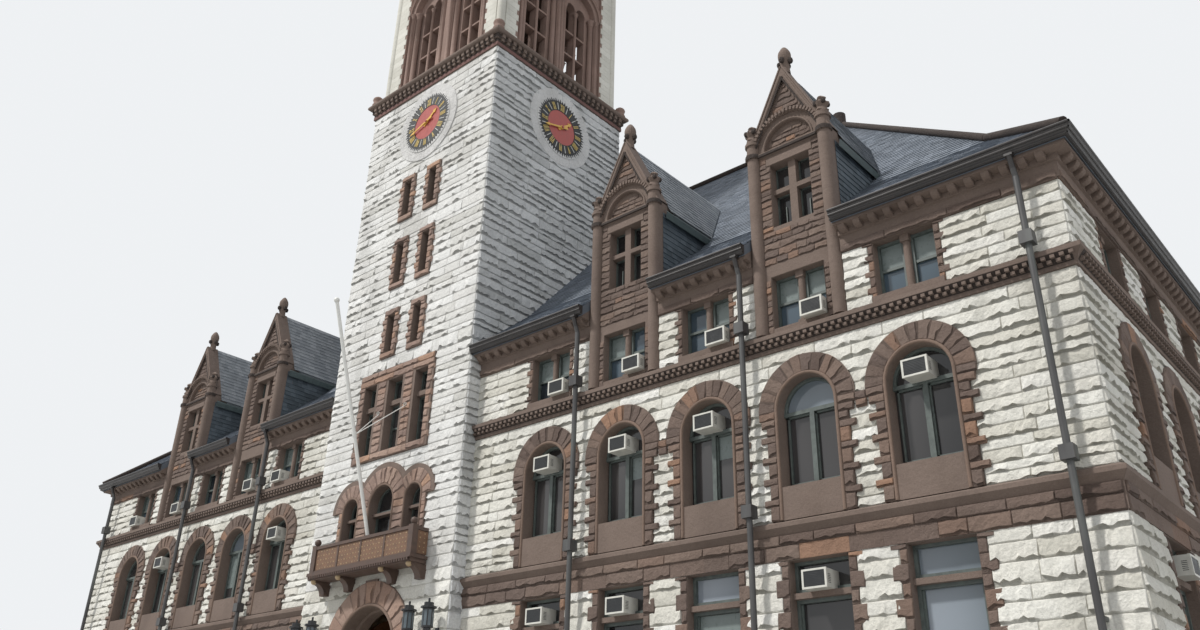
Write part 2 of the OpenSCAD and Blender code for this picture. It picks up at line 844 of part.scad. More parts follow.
module dormer_pane() {
    block([-dormer_win_w / 2 + eps, glass_in + 20 + eps, dormer_sill_z + eps],
          [dormer_win_w / 2 - eps, glass_in + 20 + eps + glass_t, dormer_head_z - eps]);
}

module dormer_glass() color("steelblue") {
    for (u = dormer_x) translate([u, 0, 0]) dormer_pane();
    on_rear() for (u = dormer_x) translate([u, 0, 0]) dormer_pane();
}

module tower_glass() color("steelblue") {
    inwards(tower_front + glass_in, tower_front + glass_in + glass_t) {
        tower_arches(-eps);
        triple_lights();
        slits(-eps);
    }
}

// Balcony, flagpole, lanterns and air conditioners

post_w = 110;
rail_h = 60;
panel_t = 40;
corbel_x = [550, 1215];
corbel_w = 130;
corbel_foot_z = door_spring_z + sqrt(pow(door_ring_r, 2) - pow(corbel_x[0] - corbel_w / 2, 2)) + 5;
corbel_h = balcony_z - corbel_foot_z;
rail_w = 80;
ball_r = 55;
module balcony() color("saddlebrown") {
    front = tower_front - balcony_out;
    floor_z = balcony_z + balcony_slab;
    block([-balcony_half, front, balcony_z], [balcony_half, tower_front - trim_out, floor_z]);
    block([-balcony_half - 25, front - 25, balcony_z + 60],
          [balcony_half + 25, tower_front - trim_out, floor_z - 10]);
    block([-balcony_half + 30, front + 30, floor_z],
          [balcony_half - 30, front + 30 + panel_t, floor_z + parapet_h]);
    for (s = [0, 1]) mirror([s, 0, 0]) {
        block([balcony_half - 30 - panel_t, front + 30, floor_z],
              [balcony_half - 30, tower_front - trim_out, floor_z + parapet_h]);
        block([balcony_half - post_w, front, floor_z],
              [balcony_half, front + post_w, floor_z + parapet_h + rail_h]);
        translate([balcony_half - post_w / 2, front + post_w / 2, floor_z + parapet_h + rail_h + 60])
            sphere(r = ball_r);
        translate([balcony_half - post_w / 2, front + post_w / 2, floor_z + parapet_h])
            cylinder(r = 30, h = rail_h + 60);
        block([balcony_half - rail_w, front + 5, floor_z + parapet_h - 10],
              [balcony_half - 5, tower_front - trim_out, floor_z + parapet_h + rail_h - 20]);
        for (x = corbel_x) {
            along(x - corbel_w / 2, x + corbel_w / 2) difference() {
                translate([front + 60, balcony_z - corbel_h])
                    square([balcony_out - 60, corbel_h]);
                translate([front + 60, balcony_z - corbel_h]) circle(corbel_h - 40, $fn = 64);
            }
            translate([x, front + 60, balcony_z - 15]) sphere(r = ball_r - 10);
        }
    }
    block([-balcony_half + 5, front + 5, floor_z + parapet_h - 10],
          [balcony_half - 5, front + rail_w, floor_z + parapet_h + rail_h - 20]);
}

pole_lean = 18;
pole_len = 4380;
pole_r = 30;
module flagpole() color("gainsboro") {
    translate([0, tower_front - trim_out - pole_r - 6, balcony_floor_z + 12]) rotate([pole_lean, 0, 0]) {
        cylinder(r = pole_r, h = pole_len);
        translate([0, 0, pole_len]) sphere(r = 48);
    }
}

lantern_x = [1225, 1670];
lantern_out = 205;
lantern_z = 3060;
module lantern() {
    translate([0, -lantern_out, 0]) {
        cylinder(r = 85, h = 270, $fn = 8);
        translate([0, 0, -40]) cylinder(r = 55, h = 40, $fn = 8);
        translate([0, 0, 270]) cylinder(r = 115, h = 25, $fn = 8);
        translate([0, 0, 295]) cylinder(r = 70, h = 55, $fn = 8);
        translate([0, 0, 350]) cylinder(r = 16, h = 60);
    }
    block([-15, -lantern_out, -75], [15, 0, -40]);
    block([-35, -25, -150], [35, 0, 20]);
}

module lanterns() color("dimgray") {
    for (s = [-1, 1], x = lantern_x) translate([s * x, tower_front, lantern_z]) lantern();
}

ac_w = 300;
ac_h = 205;
ac_out = 120;
first_ac = [0, 1, 3];
second_ac = [bay_first, wing_bays[1], wing_bays[2], wing_bays[4], -bay_first, -wing_bays[3]];
third_ac = [[wing_bays[0], 1], [wing_bays[1], 1], [wing_bays[2], 1], [wing_bays[3], 1],
            [-wing_bays[0], -1], [-wing_bays[1], 1], [-wing_bays[3], 1], [-wing_bays[4], -1]];
light3_x = (win3_w + mullion_w) / 4;
module air_conditioner() {
    block([-ac_w / 2, -ac_out, 0.1], [ac_w / 2, glass_in - eps, ac_h]);
}

module air_conditioners() color("whitesmoke") {
    for (i = first_ac) translate([wing_bays[i], 0, transom1_z + transom1_h]) air_conditioner();
    for (u = second_ac) translate([u, 0, win2_spring_z - 20]) air_conditioner();
    for (a = third_ac) translate([a[0] + a[1] * light3_x, 0, win3_sill_z]) air_conditioner();
    on_right() translate([side_bays[0], 0, transom1_z + transom1_h]) air_conditioner();
}

// Tower cornice, clock, belfry and spire

cornice_out = 100;
module square_course(half_x, half_y, z0, z1) {
    block([-half_x, tower_mid - half_y, z0], [half_x, tower_mid + half_y, z1]);
}

module tower_cornice() color("rosybrown") {
    depth_half = tower_d / 2;
    difference() {
        union() {
            square_course(tower_half + 30, depth_half + 30, shaft_top_z, shaft_top_z + 150);
            square_course(tower_half + 65, depth_half + 65, shaft_top_z + 150, shaft_top_z + 250);
            square_course(tower_half + cornice_out, depth_half + cornice_out, shaft_top_z + 250, cornice_z);
        }
        block([-tower_in, tower_front + tower_t, shaft_top_z - cut],
              [tower_in, tower_back - tower_t, cornice_z + cut]);
    }
    for (x = [-1, 1], y = [-1, 1]) translate([x * (tower_half + 10), tower_mid + y * (depth_half + 10), 0]) {
        translate([0, 0, cornice_z + eps]) cylinder(r = 60, h = 90);
        translate([0, 0, cornice_z + 150]) sphere(r = 85);
    }
}

surround_out = 20;
dial_t = 20;
dial_face = surround_out + dial_t;
hour_v = dial_face + hand_gap;
minute_v = hour_v + hand_t + hand_gap;
cap_v = minute_v + hand_t + hand_gap;
arbor_r = 14;
bore_r = 15;
hub_r = 42;

module at_dials(faces = [0 : 3]) tower_faces(faces) translate([0, 0, dial_z]) children();

module clock_surrounds() color("whitesmoke") {
    at_dials() inwards(-surround_out, 0) circle(surround_r, $fn = 96);
}

module clock_dials() color("firebrick") {
    at_dials() {
        inwards(-dial_face, -surround_out) circle(dial_r, $fn = 96);
        inwards(-cap_v, -dial_face) circle(arbor_r);
        inwards(-cap_v - 12, -cap_v) circle(2 * arbor_r);
    }
}

// A hand that points up, from its back face to its front face
module hand(back, length, width) {
    head = length * 0.72;
    tail = length * 0.32;
    difference() {
        union() {
            inwards(-back - hand_t, -back) circle(hub_r);
            inwards(-back - hand_t, -back)
                polygon([[-width / 2, 0], [-width / 3, head], [-width * 0.9, head], [0, length],
                         [width * 0.9, head], [width / 3, head], [width / 2, 0],
                         [width * 0.7, -tail], [-width * 0.7, -tail]]);
        }
        inwards(-back - hand_t - cut, -back + cut) circle(bore_r);
    }
}

minute_w = 40;
hour_w = 54;
module minute_hand(face) color("gold") {
    at_dials([face]) rotate([0, minute_angle, 0]) hand(minute_v, minute_len, minute_w);
}

module hour_hand(face) color("gold") {
    at_dials([face]) rotate([0, hour_angle, 0]) hand(hour_v, hour_len, hour_w);
}

module front_minute_hand() minute_hand(0);
module front_hour_hand() hour_hand(0);
module right_minute_hand() minute_hand(1);
module right_hour_hand() hour_hand(1);
module rear_minute_hand() minute_hand(2);
module rear_hour_hand() hour_hand(2);
module left_minute_hand() minute_hand(3);
module left_hour_hand() hour_hand(3);

belfry_in = 100;
belfry_half_x = tower_half - belfry_in;
belfry_half_y = tower_d / 2 - belfry_in;
module belfry_piers() color("ivory") {
    for (x = [0, 1], y = [0, 1]) mirror([x, 0, 0]) translate([0, tower_mid, 0]) mirror([0, y, 0])
        block([belfry_half_x - pier_w, belfry_half_y - pier_w, cornice_z], [belfry_half_x, belfry_half_y, belfry_z]);
}

bell_recess_w = 960;
bell_spring_z = 16350;
bell_hood_r = 680;
function bell_x(half) = half - bell_hood_r - 15;
light_w = 270;
light_x = 158;
bell_bars = [15035, 15650];
bell_wall_t = 300;
bell_set = 50;
module belfry_arcade(half) {
    translate([0, bell_set, 0]) difference() {
        union() {
            block([-half, 0, cornice_z], [half, bell_wall_t, belfry_z]);
            for (s = [-1, 1]) translate([s * bell_x(half), 0, bell_spring_z]) inwards(-50, 0) difference() {
                half_disc(bell_hood_r);
                circle(bell_hood_r - 90, $fn = 96);
            }
        }
        for (s = [-1, 1]) translate([s * bell_x(half), 0, 0]) {
            inwards(-cut, 120) round_head(bell_recess_w, cornice_z + 100, bell_spring_z);
            for (t = [-1, 1]) translate([t * light_x, 0, 0]) inwards(-cut, bell_wall_t + cut) difference() {
                round_head(light_w, cornice_z + 150, bell_spring_z);
                for (z = bell_bars) translate([-light_w, z]) square([2 * light_w, 45]);
            }
        }
    }
    for (s = [-1, 1], t = [-1, 1])
        translate([s * bell_x(half) + t * (bell_recess_w / 2 - 60), bell_set + 60, cornice_z + 100])
            cylinder(r = 50, h = bell_spring_z - cornice_z - 100);
}

module belfry_front_rear() color("rosybrown") {
    for (s = [0, 1]) translate([0, tower_mid, 0]) rotate([0, 0, 180 * s])
        translate([0, -belfry_half_y, 0]) belfry_arcade(belfry_half_x - pier_w);
}

module belfry_sides() color("rosybrown") {
    for (s = [0, 1]) translate([0, tower_mid, 0]) rotate([0, 0, 90 + 180 * s])
        translate([0, -belfry_half_x, 0]) belfry_arcade(belfry_half_y - pier_w);
}

module upper_cornice() color("rosybrown") {
    step = (spire_z - belfry_z) / 3;
    difference() {
        for (i = [0 : 2])
            square_course(belfry_half_x + 50 * (i + 1), belfry_half_y + 50 * (i + 1),
                          belfry_z + i * step, belfry_z + (i + 1) * step);
        square_course(belfry_half_x - pier_w, belfry_half_y - pier_w, belfry_z + floor_t, spire_z + cut);
    }
    for (x = [-1, 1], y = [-1, 1])
        translate([x * (belfry_half_x + 70), tower_mid + y * (belfry_half_y + 70), 0]) {
            translate([0, 0, spire_z + eps]) cylinder(r = 60, h = 90);
            translate([0, 0, spire_z + 150]) sphere(r = 85);
        }
}

spire_in = 165;
spire_wall = 130;
module pyramid(half_x, half_y, z0, z1) {
    intersection() {
        translate([0, tower_mid, 0]) inwards(-half_y - cut, half_y + cut)
            polygon([[-half_x, z0], [half_x, z0], [0, z1]]);
        along(-half_x - cut, half_x + cut)
            polygon([[tower_mid - half_y, z0], [tower_mid + half_y, z0], [tower_mid, z1]]);
    }
}

module spire_roof() color("slategray") {
    hx = belfry_half_x + 150 - spire_in;
    hy = belfry_half_y + 150 - spire_in;
    rise = (spire_tip_z - spire_z) / hx;
    difference() {
        pyramid(hx, hy, spire_z, spire_tip_z);
        pyramid(hx - spire_wall, hy - spire_wall, spire_z - eps, spire_tip_z - spire_wall * rise);
    }
    translate([0, tower_mid, spire_tip_z - 200]) cylinder(r = 45, h = 450);
    translate([0, tower_mid, spire_tip_z + 300]) sphere(r = 100);
}

front_walls();
end_walls();
rear_wall();
entrance_piers();
entrance_arch();
entrance_steps();
entrance_doors();
tower_front_wall();
tower_side_walls();
tower_rear_wall();
first_floor();
second_floor();
third_floor();
attic_floor();
belfry_floor();
roof_front();
roof_behind_tower();
roof_rear();
roof_ends();
ridge_and_hip_caps();
dormer_gables();
dormer_cheeks();
dormer_roofs();
string_courses();
eaves_cornice();
gutters_and_downpipes();
first_storey_trim();
second_storey_arches();
third_storey_trim();
tower_trim();
first_storey_glass();
second_storey_glass();
third_storey_glass();
dormer_glass();
tower_glass();
balcony();
flagpole();
lanterns();
air_conditioners();
tower_cornice();
clock_surrounds();
clock_dials();
front_minute_hand();
front_hour_hand();
right_minute_hand();
right_hour_hand();
rear_minute_hand();
rear_hour_hand();
left_minute_hand();
left_hour_hand();
belfry_piers();
belfry_front_rear();
belfry_sides();
upper_cornice();
spire_roof();
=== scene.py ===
"""Looks of a stone town hall with a clock tower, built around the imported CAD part.

Lengths are in metres, in the part's own frame: X along the front to the right,
Y into the building, Z up. A wall has its own axes: u along it, z up it and v
out of it. One generator makes every random draw, in the order of the script.
"""

import math
from collections import namedtuple
from itertools import pairwise
from types import SimpleNamespace

import bpy
import numpy as np
from mathutils import Matrix, Vector


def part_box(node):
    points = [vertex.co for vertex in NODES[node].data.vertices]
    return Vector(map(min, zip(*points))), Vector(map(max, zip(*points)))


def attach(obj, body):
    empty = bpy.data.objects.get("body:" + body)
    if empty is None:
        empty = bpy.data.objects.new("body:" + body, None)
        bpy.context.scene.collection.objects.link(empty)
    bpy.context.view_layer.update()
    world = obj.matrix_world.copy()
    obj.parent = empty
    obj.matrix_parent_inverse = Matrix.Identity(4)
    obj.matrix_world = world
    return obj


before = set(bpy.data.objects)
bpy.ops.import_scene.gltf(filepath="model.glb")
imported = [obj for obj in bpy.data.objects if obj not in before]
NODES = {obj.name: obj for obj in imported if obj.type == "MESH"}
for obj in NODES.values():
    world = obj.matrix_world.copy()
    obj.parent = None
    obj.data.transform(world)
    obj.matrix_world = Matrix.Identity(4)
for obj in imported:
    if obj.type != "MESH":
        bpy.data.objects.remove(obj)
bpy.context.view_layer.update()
rng = np.random.default_rng(7)
X, Y, Z = 0, 1, 2
SIDES = (-1, 1)
TURN = 2 * math.pi
EIGHTHS = np.arange(8) * TURN / 8


def low(name, axis):
    """The lowest place of a CAD node on an axis, to 0.1 mm."""
    return round(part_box(name)[0][axis], 4)


def high(name, axis):
    """The highest place of a CAD node on an axis, to 0.1 mm."""
    return round(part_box(name)[1][axis], 4)


Opening = namedtuple("Opening", "half sill head")
SEAT = 0.0003


def opening(half, glass, rise=0.0):
    """A row's windows, whose glass stands a seat inside them. rise is an arch's height over the head."""
    return Opening(half, round(low(glass, Z) - SEAT, 4), round(high(glass, Z) + SEAT - rise, 4))


# Sizes of the walls, windows, tower and roof, as the CAD part has them
BASE_OUT, BASE_H = 0.06, 1.0
HALF_W = high("front_walls", X)
DEPTH = high("rear_wall", Y) - BASE_OUT
BAYS = [3.47 + 1.43 * i for i in range(5)]
LEFT_BAYS = [-u for u in BAYS]
REAR_BAYS = LEFT_BAYS + BAYS + [2.04, 0.61, -2.04, -0.61]
SIDE_BAYS = [DEPTH / 2 + 1.62 * i for i in range(-2, 3)]
DORMERS = [BAYS[1], BAYS[3], -BAYS[1], -BAYS[3]]
STRING1 = (low("string_courses", Z), 3.81)
STRING2 = (5.925, high("string_courses", Z))
FRIEZE_Z = low("eaves_cornice", Z)
WIN1 = opening(0.375, "first_storey_glass")
WIN2 = opening(0.385, "second_storey_glass", rise=0.385)
WIN3 = opening(0.3825, "third_storey_glass")
TRANSOM = (2.935, 3.0)
LINTELS1, LINTEL3 = (WIN1.head + 0.003, 3.53, 3.645), (WIN3.head, 7.085)
QUOIN1, QUOIN2, QUOIN3 = (0.095, 0.18), (0.16, 0.245), (0.07, 0.13)
RING_W = 0.265
ROLL_W = 0.038
TRIM_OUT = 0.04
FACE = TRIM_OUT + 0.002
CAP_COURSES = ((4.95, 5.045), (5.045, 5.143))
MODILLION_STEP, DENTIL_STEP, CORBEL_STEP, BOSS_STEP = 0.197, 0.095, 0.14, 0.072
GLASS_V, BLIND_V, PALE_V = -0.16, -0.1575, -0.1573
FRAME_BACK, FRAME_FRONT = -0.155, -0.11
TOWER_HALF = high("tower_front_wall", X)
TOWER_FRONT = low("tower_front_wall", Y)
TOWER_BACK = high("tower_rear_wall", Y)
TOWER_MID = (TOWER_FRONT + TOWER_BACK) / 2
TOWER_SIDE = TOWER_BACK - TOWER_MID
PORCH_TOP, SHAFT_TOP = low("tower_front_wall", Z), high("tower_front_wall", Z)
REAR_FOOT = 10.85
TRIPLE = (5.975, 7.615)
SLIT_U, SLIT_HALF = 0.365, 0.1
SLIT_ROWS = ((7.96, 8.7), (9.35, 10.185), (10.8, 11.57))
SLITS = [(s * SLIT_U, z0, z1) for s in SIDES for z0, z1 in SLIT_ROWS]
ARCH_FOOT, ARCH_SPRING, ARCH_SIDE = 4.16, 5.17, 0.812
IMPOST = (5.0, 5.165)
DOOR_HALF, DOOR_SPRING, DOOR_RING = 0.7, low("entrance_arch", Z), high("entrance_arch", X) - 0.002
DIAL_Z = (low("clock_dials", Z) + high("clock_dials", Z)) / 2
STEPS, FLOOR1 = 14, high("first_floor", Z)
STAIR_HALF, STAIR_RUN = high("entrance_steps", X), TOWER_FRONT - low("entrance_steps", Y)
STAIR_INNER, STAIR_WALL = 1.05, 1.2
RIDGE_Y = DEPTH / 2
EAVE_OUT = -low("roof_front", Y)
EAVE_X, EAVE_Y = HALF_W + EAVE_OUT, RIDGE_Y + EAVE_OUT
EAVE_Z = high("gutters_and_downpipes", Z)
FOOT_RUN, FOOT_SLOPE, MAIN_SLOPE = 1.18, 0.83, 1.1
FOOT_TOP = EAVE_Z + FOOT_RUN * FOOT_SLOPE
MAIN_RUN = EAVE_Y - FOOT_RUN
DORMER_HALF, DORMER_EAVE, DORMER_SHAFT = 0.6375, 0.6975, 0.5495
GABLE_Z, GABLE_TIP = 8.9, 10.2
DORMER_SLOPE = (GABLE_TIP - GABLE_Z) / DORMER_HALF
CHEEK_FOOT, CHEEK_TOP = 0.095, 8.735
EVERYWHERE = 99


class Wall:
    """A wall's own axes from a point at its foot. Turn 0 faces the front, 1 right, 2 the rear, 3 left."""

    def __init__(self, x, y, turn):
        cos, sin = ((1, 0), (0, 1), (-1, 0), (0, -1))[turn]
        self.origin = np.array([x, y, 0.0])
        self.along = np.array([cos, sin, 0.0])
        self.out = np.array([sin, -cos, 0.0])

    def place(self, u, v, z):
        u, v, z = np.broadcast_arrays(*(np.asarray(a, float) for a in (u, v, z)))
        points = self.origin + u[..., None] * self.along + v[..., None] * self.out
        points[..., 2] += z
        return points


def four_walls(half_x, half_y):
    """The walls of a box about the tower's axis, each with half its length and half the depth behind it."""
    return [(Wall(0, TOWER_MID - half_y, 0), half_x, half_y), (Wall(half_x, TOWER_MID, 1), half_y, half_x),
            (Wall(0, TOWER_MID + half_y, 2), half_x, half_y), (Wall(-half_x, TOWER_MID, 3), half_y, half_x)]


FRONT, REAR = Wall(0, 0, 0), Wall(0, DEPTH, 2)
RIGHT, LEFT = Wall(HALF_W, 0, 1), Wall(-HALF_W, DEPTH, 3)
MID_RIGHT, MID_LEFT = Wall(HALF_W, RIDGE_Y, 1), Wall(-HALF_W, RIDGE_Y, 3)
DORMER_SPOTS = [(wall, u) for wall in (FRONT, REAR) for u in DORMERS]
TOWER = four_walls(TOWER_HALF, TOWER_SIDE)
TOWER_F, TOWER_R, TOWER_B, TOWER_L = (wall for wall, _, _ in TOWER)

# Each: names of its stones and its trim, wall, ends, bays, dormers, chipped share, coarseness
MAIN_WALLS = (("front_stones_right", "front_right", FRONT, TOWER_HALF, HALF_W, BAYS, DORMERS, 0.42, 1.0),
              ("front_stones_left", "front_left", FRONT, -HALF_W, -TOWER_HALF, LEFT_BAYS, DORMERS, 0.42, 1.0),
              ("end_stones_right", "right_end", RIGHT, 0, DEPTH, SIDE_BAYS, (), 0.75, 1.0),
              ("end_stones_left", "left_end", LEFT, 0, DEPTH, SIDE_BAYS, (), 0.42, 1.5),
              ("rear_stones", "rear", REAR, -HALF_W, HALF_W, REAR_BAYS, DORMERS, 0.42, 1.5))
# Each: name, wall, half its length at the eaves, dormers, half the tower's width where it stands
MAIN_ROOFS = (("front", FRONT, EAVE_X, DORMERS, TOWER_HALF), ("rear", REAR, EAVE_X, DORMERS, 0),
              ("right_end", MID_RIGHT, EAVE_Y, (), 0), ("left_end", MID_LEFT, EAVE_Y, (), 0))

# Materials. Colours are in 0 to 255 as the screen shows them, and FINISHES has each one's slot
FINISHES = {}


def srgb(color):
    return tuple(c / 255 / 12.92 if c / 255 < 0.04045 else ((c / 255 + 0.055) / 1.055) ** 2.4 for c in color)


def new_material(slot, name):
    material = bpy.data.materials.new(name)
    material.use_nodes = True
    FINISHES[name] = (material, slot)
    return material.node_tree


def feed(tree, socket, value):
    """Links a node's output to a socket, or sets a plain value on it."""
    if isinstance(value, bpy.types.NodeSocket):
        tree.links.new(value, socket)
    else:
        socket.default_value = (*value, 1) if isinstance(value, tuple) and socket.type == "RGBA" else value


def add_node(tree, kind, **inputs):
    node = tree.nodes.new(f"ShaderNode{kind}")
    for name, value in inputs.items():
        feed(tree, node.inputs[name], value)
    return node


def ramp(tree, factor, *stops):
    """A colour ramp fed by a factor. Stops are (position, colour or grey)."""
    node = add_node(tree, "ValToRGB", Fac=factor)
    while len(node.color_ramp.elements) < len(stops):
        node.color_ramp.elements.new(0.5)
    for element, (position, color) in zip(node.color_ramp.elements, stops):
        element.position = position
        element.color = (*np.broadcast_to(color, 3), 1)
    return node.outputs["Color"]


def math_node(tree, kind, a, b):
    node = add_node(tree, "Math")
    node.operation = kind
    feed(tree, node.inputs[0], a)
    feed(tree, node.inputs[1], b)
    return node.outputs[0]


def noise(tree, scale, detail=4.0, stretch=(1, 1, 1), rough=0.55):
    """Noise in the object's own metres, stretched along its axes."""
    coords = add_node(tree, "TexCoord").outputs["Object"]
    place = add_node(tree, "Mapping", Scale=stretch, Vector=coords).outputs["Vector"]
    node = add_node(tree, "TexNoise", Scale=scale, Detail=detail, Roughness=rough, Vector=place)
    return node.outputs["Fac"]


def mix_color(tree, factor, a, b, kind="MIX"):
    node = add_node(tree, "Mix")
    node.data_type = "RGBA"
    node.blend_type = kind
    for socket, value in ((0, factor), (6, a), (7, b)):
        feed(tree, node.inputs[socket], value)
    return node.outputs[2]


def tone(tree, channel="Red"):
    """What a face was given: its tone in red, and in green how unshaded it is; a low value gets painted
    shade.
    """
    node = add_node(tree, "Attribute")
    node.attribute_name = "tone"
    return add_node(tree, "SeparateColor", Color=node.outputs["Color"]).outputs[channel]


def surface(tree, color, rough, height, distance, strength):
    """Gives the shader its colour, its roughness and the relief of its surface."""
    shader = tree.nodes["Principled BSDF"]
    feed(tree, shader.inputs["Base Color"], color)
    feed(tree, shader.inputs["Roughness"], rough)
    relief = add_node(tree, "Bump", Strength=strength, Distance=distance, Height=height)
    feed(tree, shader.inputs["Normal"], relief.outputs["Normal"])
    return shader


def stone(slot, name, tones, stain, grain=38.0, relief=0.006, by_stone=True, rare=0.0):
    """Stone with grain, weather stains, relief and painted shade on faces marked as shaded. rare is the last
    tone's share of the blocks.
    """
    tree = new_material(slot, name)
    tones, stain, last = [srgb(c) for c in tones], srgb(stain), len(tones) - 1
    places = [(1 - rare) * i / max(1, last - 1) if rare and i < last else i / last for i in range(last + 1)]
    base = ramp(tree, tone(tree) if by_stone else noise(tree, 2.5, 3.0), *zip(places, tones))
    speck = ramp(tree, noise(tree, grain, 6.0, rough=0.7), (0.3, 0.62), (0.7, 1.1))
    color = mix_color(tree, 0.55, base, speck, "MULTIPLY")
    amount = ramp(tree, noise(tree, 1.3, 5.0, (1, 1, 0.35)), (0.5, 0.0), (0.78, 0.5))
    color = mix_color(tree, amount, color, stain)
    if by_stone:
        # Painted shade: faces marked as shaded are mixed towards a darkened stain colour.
        painted_shade = ramp(tree, tone(tree, "Green"), (0.0, 0.55), (1.0, 0.0))
        color = mix_color(tree, painted_shade, color, tuple(c * 0.6 for c in stain))
    surface(tree, color, 0.92, noise(tree, grain * 0.3, 8.0, rough=0.7), relief * 7, 0.85)


def painted(slot, name, color, rough=0.45, wear=0.25):
    """Paint with slight unevenness and dulled patches."""
    tree = new_material(slot, name)
    patch = noise(tree, 14.0, 5.0)
    light = tuple(min(1.0, c * (1 + wear)) for c in srgb(color))
    dark = tuple(c * (1 - wear) for c in srgb(color))
    coat = ramp(tree, patch, (0.3, dark), (0.7, light))
    dull = ramp(tree, patch, (0.3, rough * 0.8), (0.75, min(1, rough * 1.3)))
    surface(tree, coat, dull, noise(tree, 84.0, 3.0), 0.001, 0.4)


def slates(name, *tones):
    tree = new_material("slate", name)
    base = ramp(tree, tone(tree), *zip((0.0, 0.5, 1.0), map(srgb, tones)))
    cloud = ramp(tree, noise(tree, 1.2, 5.0), (0.35, 0.78), (0.7, 1.06))
    color = mix_color(tree, 0.7, base, cloud, "MULTIPLY")
    surface(tree, color, 0.62, noise(tree, 30.0, 6.0, rough=0.7), 0.004, 0.6)


def glass(name, dark, light):
    """Panes coloured with a painted reflection, lighter in some rooms than in others."""
    tree = new_material("glass", name)
    dark, light = srgb(dark), srgb(light)
    middle = tuple((a + b) / 2 for a, b in zip(dark, light))
    painted_reflection = ramp(tree, noise(tree, 0.55, 1.0, rough=0.3), (0.38, dark), (0.5, middle), (0.66, light))
    shader = surface(tree, painted_reflection, 0.06, noise(tree, 2.2, 2.0), 0.004, 0.25)
    shader.inputs["Specular IOR Level"].default_value = 0.6


def rainwater_goods():
    """Near-black gutters over weathered grey downpipes."""
    tree = new_material("rainwater", "rainwater_goods")
    coords = add_node(tree, "TexCoord").outputs["Object"]
    height = add_node(tree, "SeparateXYZ", Vector=coords).outputs["Z"]
    above = math_node(tree, "GREATER_THAN", height, EAVE_Z - 0.3)
    patch = noise(tree, 5.0, 5.0, (1, 1, 0.2))
    greys = map(srgb, ((56, 55, 56), (74, 74, 74), (96, 102, 98)))
    pipe = ramp(tree, patch, *zip((0.35, 0.55, 0.75), greys))
    gutter = ramp(tree, patch, (0.3, srgb((34, 32, 32))), (0.75, srgb((54, 50, 49))))
    surface(tree, mix_color(tree, above, pipe, gutter), 0.5, noise(tree, 60.0, 3.0), 0.001, 0.4)


stone("granite", "granite_blocks", [(211, 208, 197), (230, 228, 219), (238, 237, 230), (221, 218, 208),
                                    (243, 242, 237)], (120, 116, 100))
stone("granite", "tower_granite", [(214, 213, 208), (233, 232, 229), (240, 240, 238), (224, 223, 219),
                                   (244, 244, 242)], (136, 134, 128))
stone("granite", "shaded_granite", [(192, 193, 192), (210, 211, 211), (219, 220, 220), (200, 201, 201),
                                    (226, 227, 227)], (118, 119, 117))
stone("granite", "granite_plain", [(188, 185, 176), (210, 207, 199)], (124, 121, 111), relief=0.003,
      by_stone=False)
stone("granite", "dial_surround_granite", [(215, 214, 212), (231, 230, 229)], (152, 151, 148), by_stone=False)
stone("granite", "granite_smooth", [(212, 210, 200), (228, 226, 217)], (150, 148, 138), 50.0, 0.001)
stone("brownstone", "brownstone_blocks", [(92, 77, 70), (118, 101, 92), (106, 91, 84), (126, 109, 99),
                                          (128, 105, 92), (156, 122, 100)], (74, 60, 53), rare=0.09)
stone("brownstone", "tower_brownstone", [(134, 113, 104), (164, 140, 128), (149, 126, 115), (172, 147, 133),
                                         (159, 131, 116), (186, 150, 126)], (92, 76, 68), rare=0.12)
# The belfry's brownstone is redder than the plain one. It is also lighter, in part as painted light against
# the shade in the belfry's recess.
stone("brownstone", "belfry_brownstone", [(130, 109, 100), (160, 134, 123)], (92, 76, 69), 55.0, 0.002, False)
# Near-black brownstone: the colour of the ridge and hip caps, and painted shade in hollows and on dark rolls
# and leaves.
stone("brownstone", "dark_brownstone_and_painted_shade", [(52, 44, 41), (70, 60, 55)], (40, 34, 32), by_stone=False)
stone("brownstone", "rubbed_red_band", [(112, 84, 80), (132, 98, 92)], (84, 66, 62), 55.0, 0.001, False)
stone("brownstone", "brownstone_plain", [(108, 93, 84), (130, 114, 105)], (80, 68, 62), 55.0, 0.002, False)
stone("brownstone", "brownstone_rolls", [(114, 96, 85), (136, 115, 102)], (84, 70, 62), 60.0, 0.0015, False)
painted("ac_case", "window_blind", (118, 128, 126), 0.3, 0.08)
painted("ac_case", "cream_sheet", (205, 204, 196), 0.4, 0.08)
painted("ac_case", "black_enamel", (38, 40, 42), 0.4, 0.15)
painted("rainwater", "window_frame_paint", (84, 92, 89), 0.5)
painted("rainwater", "lead_sheet", (70, 82, 82), 0.55)
painted("rainwater", "gutter_paint", (44, 41, 41), 0.4)
painted("dial", "red_enamel", (168, 76, 70), 0.4, 0.1)
painted("dial", "dial_ring_enamel", (22, 23, 24), 0.55, 0.1)
painted("gilt", "numeral_paint", (208, 182, 110), 0.5, 0.08)
painted("gilt", "gilt", (222, 176, 80), 0.35, 0.1)
painted("oak", "orange_timber", (114, 86, 66), 0.6)
painted("oak", "pale_paint", (172, 150, 118), 0.5, 0.1)
painted("oak", "weathered_timber", (83, 66, 58), 0.6)
painted("oak", "door_oak", (86, 56, 38), 0.5)
painted("iron", "black_iron", (30, 31, 34), 0.4)
painted("pole", "white_paint", (226, 226, 222), 0.35, 0.06)
painted("floor_boards", "floor_boards", (150, 122, 90), 0.6)
painted("glass", "lantern_pane", (92, 102, 108), 0.15, 0.15)
